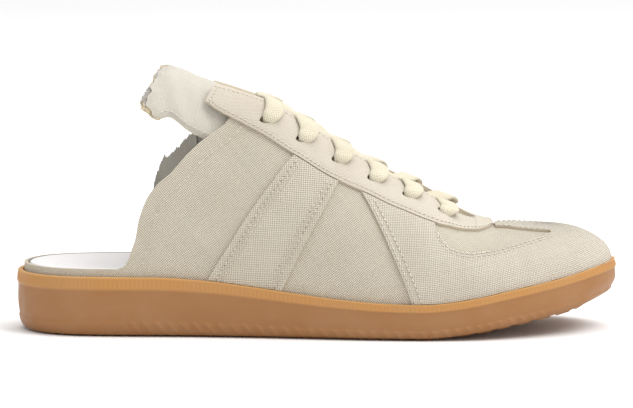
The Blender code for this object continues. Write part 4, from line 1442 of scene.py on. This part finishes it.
def needle_holes(name, routes, finish, pitch=None):
    """Painted shade of the small pits between stitches, where the needle went in: dark flat marks on the
    cloth.
    """
    pitch = pitch or STITCH_PITCH
    parts = [evenly((points[::-1], normals[::-1]), pitch) for points, normals in routes]
    centres, ways, ups = (np.concatenate([part[k] for part in parts]) for k in range(3))
    centres = centres + ways * pitch / 2
    t = np.linspace(-1, 1, 4)
    stations = centres[:, None] + ways[:, None] * (t * NEEDLE_HOLE)[:, None] + ups[:, None] * 0.00006
    taper = np.array([0.6, 1, 1, 0.6])[:, None]
    radii = np.stack([np.full(4, NEEDLE_HOLE * 0.55), np.full(4, 0.00010)], -1) * taper
    return tubes(name, stations, np.broadcast_to(radii, (len(ways), 4, 2)), finish)


def outward(points, normals, sign=1):
    """The way out of an edge, square to it in the cloth."""
    return unit(np.cross(np.gradient(points, axis=0), normals)) * sign


# Where the seams run

def along_band(share, inner):
    up = np.linspace(0.01, 0.985, 160)
    q, v = band_places(np.full_like(up, share), up, inner)
    return last_point(q, v, GAP + PANEL_THICKNESS)


def along_guard_seam(inset, inner):
    up = np.linspace(0.01, 0.985, 160)
    q = place_of(read(SEAMS, "guard", up) + inset / SOLE_LENGTH, inner)
    low, top = panel_bottom(q), swell(panel_top(q), section(q)[2])[1]
    return last_point(q, np.maximum(v_at_rise(q, top * up), low), GAP + PANEL_THICKNESS)


def window_low(at, inner):
    q = place_of(at, inner)
    return np.minimum(v_at_rise(q, read(WINDOW, "low", at)), panel_top(q))


def along_window(inset, inner, part="low"):
    """Below the window's lower edge, or above the stem's, or in front of the window's rear end."""
    if part == "low":
        at = np.linspace(WINDOW_REAR + 0.002, WINDOW_FRONT - 0.004, 220)
        q = place_of(at, inner)
        foot, ridge, _ = section(q)
        way = np.linalg.norm(ridge - foot, axis=-1)
        v = window_low(at, inner) - inset / way * 0.62
    else:
        at = np.linspace(STEM_REAR + 0.002, WINDOW_FRONT - 0.012, 120)
        q = place_of(at, inner)
        foot, ridge, _ = section(q)
        way = np.linalg.norm(ridge - foot, axis=-1)
        v = np.minimum(v_at_rise(q, read(WINDOW, "high", at)) + inset / way * 0.62, 0.995)
    return last_point(q, v, GAP + PANEL_THICKNESS)


def along_facing(inset, inner):
    at = np.linspace(EYESTAY_REAR_HIGH, EYESTAY_FRONT - 0.006, 420)
    q = place_of(at, inner)
    girth = np.maximum(throat_girth(at, "eyestay") - inset, 0.0)
    return last_point(q, v_at_girth(q, girth), GAP + EYESTAY_THICKNESS - 0.0001)


def along_throat(inset, inner):
    at = np.linspace(EYESTAY_REAR_HIGH + 0.004, THROAT_FRONT - 0.004, 300)
    q = place_of(at, inner)
    return last_point(q, v_at_girth(q, throat_girth(at, "edge") + inset), GAP + EYESTAY_THICKNESS - 0.0001)


def along_facing_rear(inset, inner):
    """Up the short raw end of the facing, over the tongue."""
    up = np.linspace(0.05, 0.95, 40)
    at = EYESTAY_REAR_HIGH + (EYESTAY_REAR_HIGH - EYESTAY_REAR_LOW) * (up - 1) + inset / SOLE_LENGTH
    q = place_of(at, inner)
    low = throat_girth(at, "eyestay")
    girth = low + (throat_girth(at, "edge") - low) * up
    return last_point(q, v_at_girth(q, girth), GAP + EYESTAY_THICKNESS - 0.0001)


def along_cut(inset, inner):
    """Inside the cut edge of the quarter, square to it."""
    at = np.linspace(0.1, 0.399, 400)
    q = place_of(at, inner)
    points, normals = last_point(q, upper_top(q))
    inwards = outward(points, normals, -1 if inner else 1)
    moved = points + inwards * inset
    near = np.array([share_of(moved[:, 0])]).ravel()
    q = place_of(near, inner)
    v = v_at_height(q, moved[:, 2])
    keep = (v > panel_bottom(q) + 0.01) & (v < panel_top(q)) & (near > 0.15)
    return tuple(part[keep] for part in last_point(q, v, 0.00005))


def along_tongue(inset, side):
    share = np.linspace(0.02, 0.75, 260)
    out = np.full_like(share, side * (1 - inset / (TONGUE_WIDTH / 2)))
    q, v, at = tongue_places(out, share)
    depth = UPPER_WALL + GAP + TONGUE_PRESS * read(TONGUE, "press", at)
    return last_point(q, v, -depth + 0.0001)


# The whole

# Cloths: name, colour of the threads, painted shade in the gaps between threads, pitch of the weave, its slant
# in degrees, relief
CLOTHS = {
    "canvas": ("quarter_canvas", (0.74, 0.675, 0.56), (0.30, 0.26, 0.18), 0.00086, 40, 0.0003),
    "band": ("band_canvas", (0.755, 0.69, 0.575), (0.30, 0.26, 0.18), 0.00086, 3, 0.0003),
    "guard": ("guard_canvas", (0.73, 0.67, 0.575), (0.36, 0.31, 0.23), 0.00086, 3, 0.0003),
    "facing": ("facing_cotton", (0.67, 0.605, 0.51), (0.46, 0.41, 0.33), 0.0007, 20, 0.00012),
    "tongue": ("tongue_cotton", (0.66, 0.63, 0.56), (0.48, 0.44, 0.36), 0.0007, 0, 0.00012),
    "lining": ("lining_cotton", (0.48, 0.46, 0.43), (0.30, 0.29, 0.27), 0.0007, 0, 0.0001),
    "lace": ("lace_braid", (0.76, 0.705, 0.56), (0.50, 0.44, 0.31), 0.0008, 45, 0.00014),
}


def finishes():
    made = {}
    made["gum"] = gum_finish()
    for key, row in CLOTHS.items():
        made[key] = cloth_finish(*row)
    made["thread"] = plain_finish("stitch_thread", (0.78, 0.72, 0.60), 0.8)
    # Painted shade for the needle holes.
    made["needle_hole_shade"] = plain_finish("needle_hole_shade", (0.20, 0.16, 0.11), 0.95)
    made["raw"] = plain_finish("raw_edge", (0.56, 0.48, 0.36), 0.95)
    made["foam"] = foam_finish()
    made["insole"] = insole_finish()
    return made


def gum_finish():
    """Moulded gum: painted light on the upper band, painted shade on the wall below and near the floor, faint
    mottling, a painted highlight on top.
    """
    finish = Finish("gum_rubber_moulded", roughness=0.48, coat=0.08)
    _, up, _ = finish.places()
    # Painted light and shade: the upper band, which faces up, is lighter, and the wall below it is darker.
    painted_light_band = finish.between(up, 0.74, 0.82)
    shade = finish.blend(painted_light_band, (0.32, 0.146, 0.050), (0.47, 0.225, 0.066))
    # Painted highlight along the rounded top of the wall, which faces the light from above.
    painted_highlight_top = finish.between(up, 0.95, 1.02)
    shade = finish.blend(painted_highlight_top, shade, (0.56, 0.29, 0.09))
    # Painted shade towards the floor, on the lower edge that tucks under.
    low = finish.between(up, 0.22, 0.02)
    shade = finish.blend(finish.math("MULTIPLY", low, 0.75), shade, (0.27, 0.118, 0.038))
    mottle = finish.between(finish.noise(55, 4.0), 0.35, 0.7)
    shade = finish.blend(finish.math("MULTIPLY", mottle, 0.16), shade, (0.42, 0.26, 0.14))
    finish.colour(shade)
    finish.put(finish.shader.inputs["Roughness"], finish.between(finish.noise(120, 3.0), 0.3, 0.7, 0.42, 0.6))
    finish.bump(finish.noise(700, 3.0), 0.00005)
    return finish.material


def plain_finish(name, colour, roughness):
    """Thread, raw edges and the painted shade of needle holes: one colour with a little cloud and a fibrous
    grain.
    """
    finish = Finish(name, roughness=roughness, sheen=0.1)
    cloud = finish.noise(300, 3.0)
    finish.colour(finish.blend(finish.math("MULTIPLY", cloud, 0.5), colour, tuple(c * 0.72 for c in colour)))
    finish.bump(finish.noise(2500, 2.0), 0.00008)
    return finish.material


def foam_finish():
    """Aged cream foam, open-celled and browned in patches."""
    finish = Finish("aged_foam", roughness=0.95, sheen=0.1)
    cloud = finish.between(finish.noise(160, 3.0), 0.42, 0.66)
    shade = finish.blend(cloud, (0.72, 0.62, 0.45), (0.52, 0.40, 0.25))
    finish.colour(shade)
    finish.bump(finish.noise(1500, 3.0), 0.0003)
    return finish.material


def insole_finish():
    """Smooth white sockliner with a faint nap, greyed where a foot has stood."""
    finish = Finish("insole_sockliner", roughness=0.75, sheen=0.1)
    worn = finish.between(finish.noise(26, 3.0), 0.45, 0.8)
    finish.colour(finish.blend(finish.math("MULTIPLY", worn, 0.25), (0.77, 0.75, 0.745), (0.62, 0.585, 0.55)))
    finish.bump(finish.noise(1400, 2.0), 0.00008)
    return finish.material


def dress():
    look = finishes()
    ride(outsole(look["gum"]), "gum_rubber", "outsole")
    pad = ride(insole(look["insole"]), "insole_lining", "insole")
    ride(upper([look["canvas"], look["lining"], look["raw"]]), "canvas", "upper")
    ride(eyestay([look["facing"], look["facing"], look["raw"]]), "facing_canvas", "eyestay")
    for side, inner in (("lateral", False), ("medial", True)):
        band = side_band(f"side_band_{side}_canvas", inner, [look["band"], look["band"], look["raw"]])
        ride(band, "panel_canvas", f"side_band_{side}")
    ride(toe_guard([look["guard"], look["guard"], look["raw"]]), "panel_canvas", "toe_guard")
    soft = ride(tongue([look["tongue"], look["lining"], look["foam"]]), "tongue_canvas", "tongue")
    layers = (
        ("torn_foam", -1.0, -0.62, 0.0008, 0.0034, 0.0050, 3, look["foam"]),
        ("torn_foam_upper", -0.50, 0.30, 0.0010, 0.0030, 0.0016, 5, look["foam"]),
        ("torn_tongue_lining", -0.86, -0.52, 0.0006, 0.0012, 0.0038, 4, look["lining"]),
        ("torn_tongue_lining_upper", -0.40, -0.05, 0.0002, 0.0008, 0.0020, 6, look["lining"]),
    )
    for layer in layers:
        ride(torn_layer(*layer), "tongue_canvas")
    ride(torn_lining(look["tongue"]), "insole_lining")
    rows = [f"lace_cross_{row + 1}" for row in range(EYELET_ROWS - 1)]
    ride(lace(look["lace"]), "lace_cotton", *rows, "lace_bar")
    routes = []
    for inner in (False, True):
        routes += [along_band(share, inner) for share in BAND_STITCHES]
        routes += [along_guard_seam(inset, inner) for inset in GUARD_STITCHES]
        routes += [along_window(inset, inner) for inset in WINDOW_STITCHES]
        routes.append(along_window(0.0014, inner, "stem"))
    ride(stitches("panel_stitches", routes, look["thread"]), "lace_cotton")
    # Painted shade in the needle holes.
    ride(needle_holes("panel_needle_holes", routes, look["needle_hole_shade"]), "panel_canvas")
    routes = []
    for inner in (False, True):
        routes += [along_facing(FACING_STITCH, inner), along_throat(FACING_STITCH, inner)]
        routes += [along_facing_rear(0.0018, inner)]
    ride(stitches("facing_stitches", routes, look["thread"], 0.0023), "lace_cotton")
    ride(needle_holes("facing_needle_holes", routes, look["needle_hole_shade"], 0.0023), "facing_canvas")
    routes = [along_cut(CUT_STITCH, inner) for inner in (False, True)]
    ride(stitches("cut_stitches", routes, look["thread"]), "lace_cotton")
    routes = [along_tongue(0.0028, side) for side in (-1, 1)]
    ride(stitches("tongue_stitches", routes, look["thread"]), "lace_cotton")


def floor():
    mesh = bpy.data.meshes.new("floor")
    size = 4.0
    corners = [(-size, -size, 0), (size, -size, 0), (size, size, 0), (-size, size, 0)]
    mesh.from_pydata(corners, [], [(0, 1, 2, 3)])
    finish = Finish("floor_paper", roughness=0.9)
    finish.colour((0.95, 0.95, 0.95))
    obj = add_object("floor", mesh, finish.material)


def light(name, place, aim, size, power):
    data = bpy.data.lights.new(name, "AREA")
    data.shape = "DISK"
    data.size = size
    data.energy = power
    obj = bpy.data.objects.new(name, data)
    bpy.context.scene.collection.objects.link(obj)
    obj.location = place
    way = Vector(aim) - Vector(place)
    obj.rotation_euler = way.to_track_quat("-Z", "Y").to_euler()


def studio():
    world = bpy.data.worlds.new("studio")
    world.use_nodes = True
    background = world.node_tree.nodes["Background"]
    background.inputs["Color"].default_value = (1, 1, 1, 1)
    background.inputs["Strength"].default_value = 0.78
    bpy.context.scene.world = world
    light("key", (0.9, -0.5, 1.4), (0, 0, 0.03), 1.2, 16)
    light("top", (0.1, 0.3, 1.6), (0, 0, 0.03), 1.4, 12)
    bpy.context.scene.view_settings.view_transform = "Standard"


def camera():
    data = bpy.data.cameras.new("camera")
    data.sensor_width = 36
    data.lens = CAMERA_LENS
    obj = bpy.data.objects.new("camera", data)
    bpy.context.scene.collection.objects.link(obj)
    distance = VIEW_WIDTH * CAMERA_LENS / 36
    raised = math.radians(CAMERA_ELEVATION)
    obj.location = (VIEW_CENTRE_X, -math.cos(raised) * distance, VIEW_CENTRE_Z + math.sin(raised) * distance)
    obj.rotation_euler = (math.pi / 2 - raised, 0, 0)
    data.clip_end = 100
    bpy.context.scene.camera = obj


def main():
    dress()
    floor()
    studio()
    camera()
    bpy.context.view_layer.update()


main()
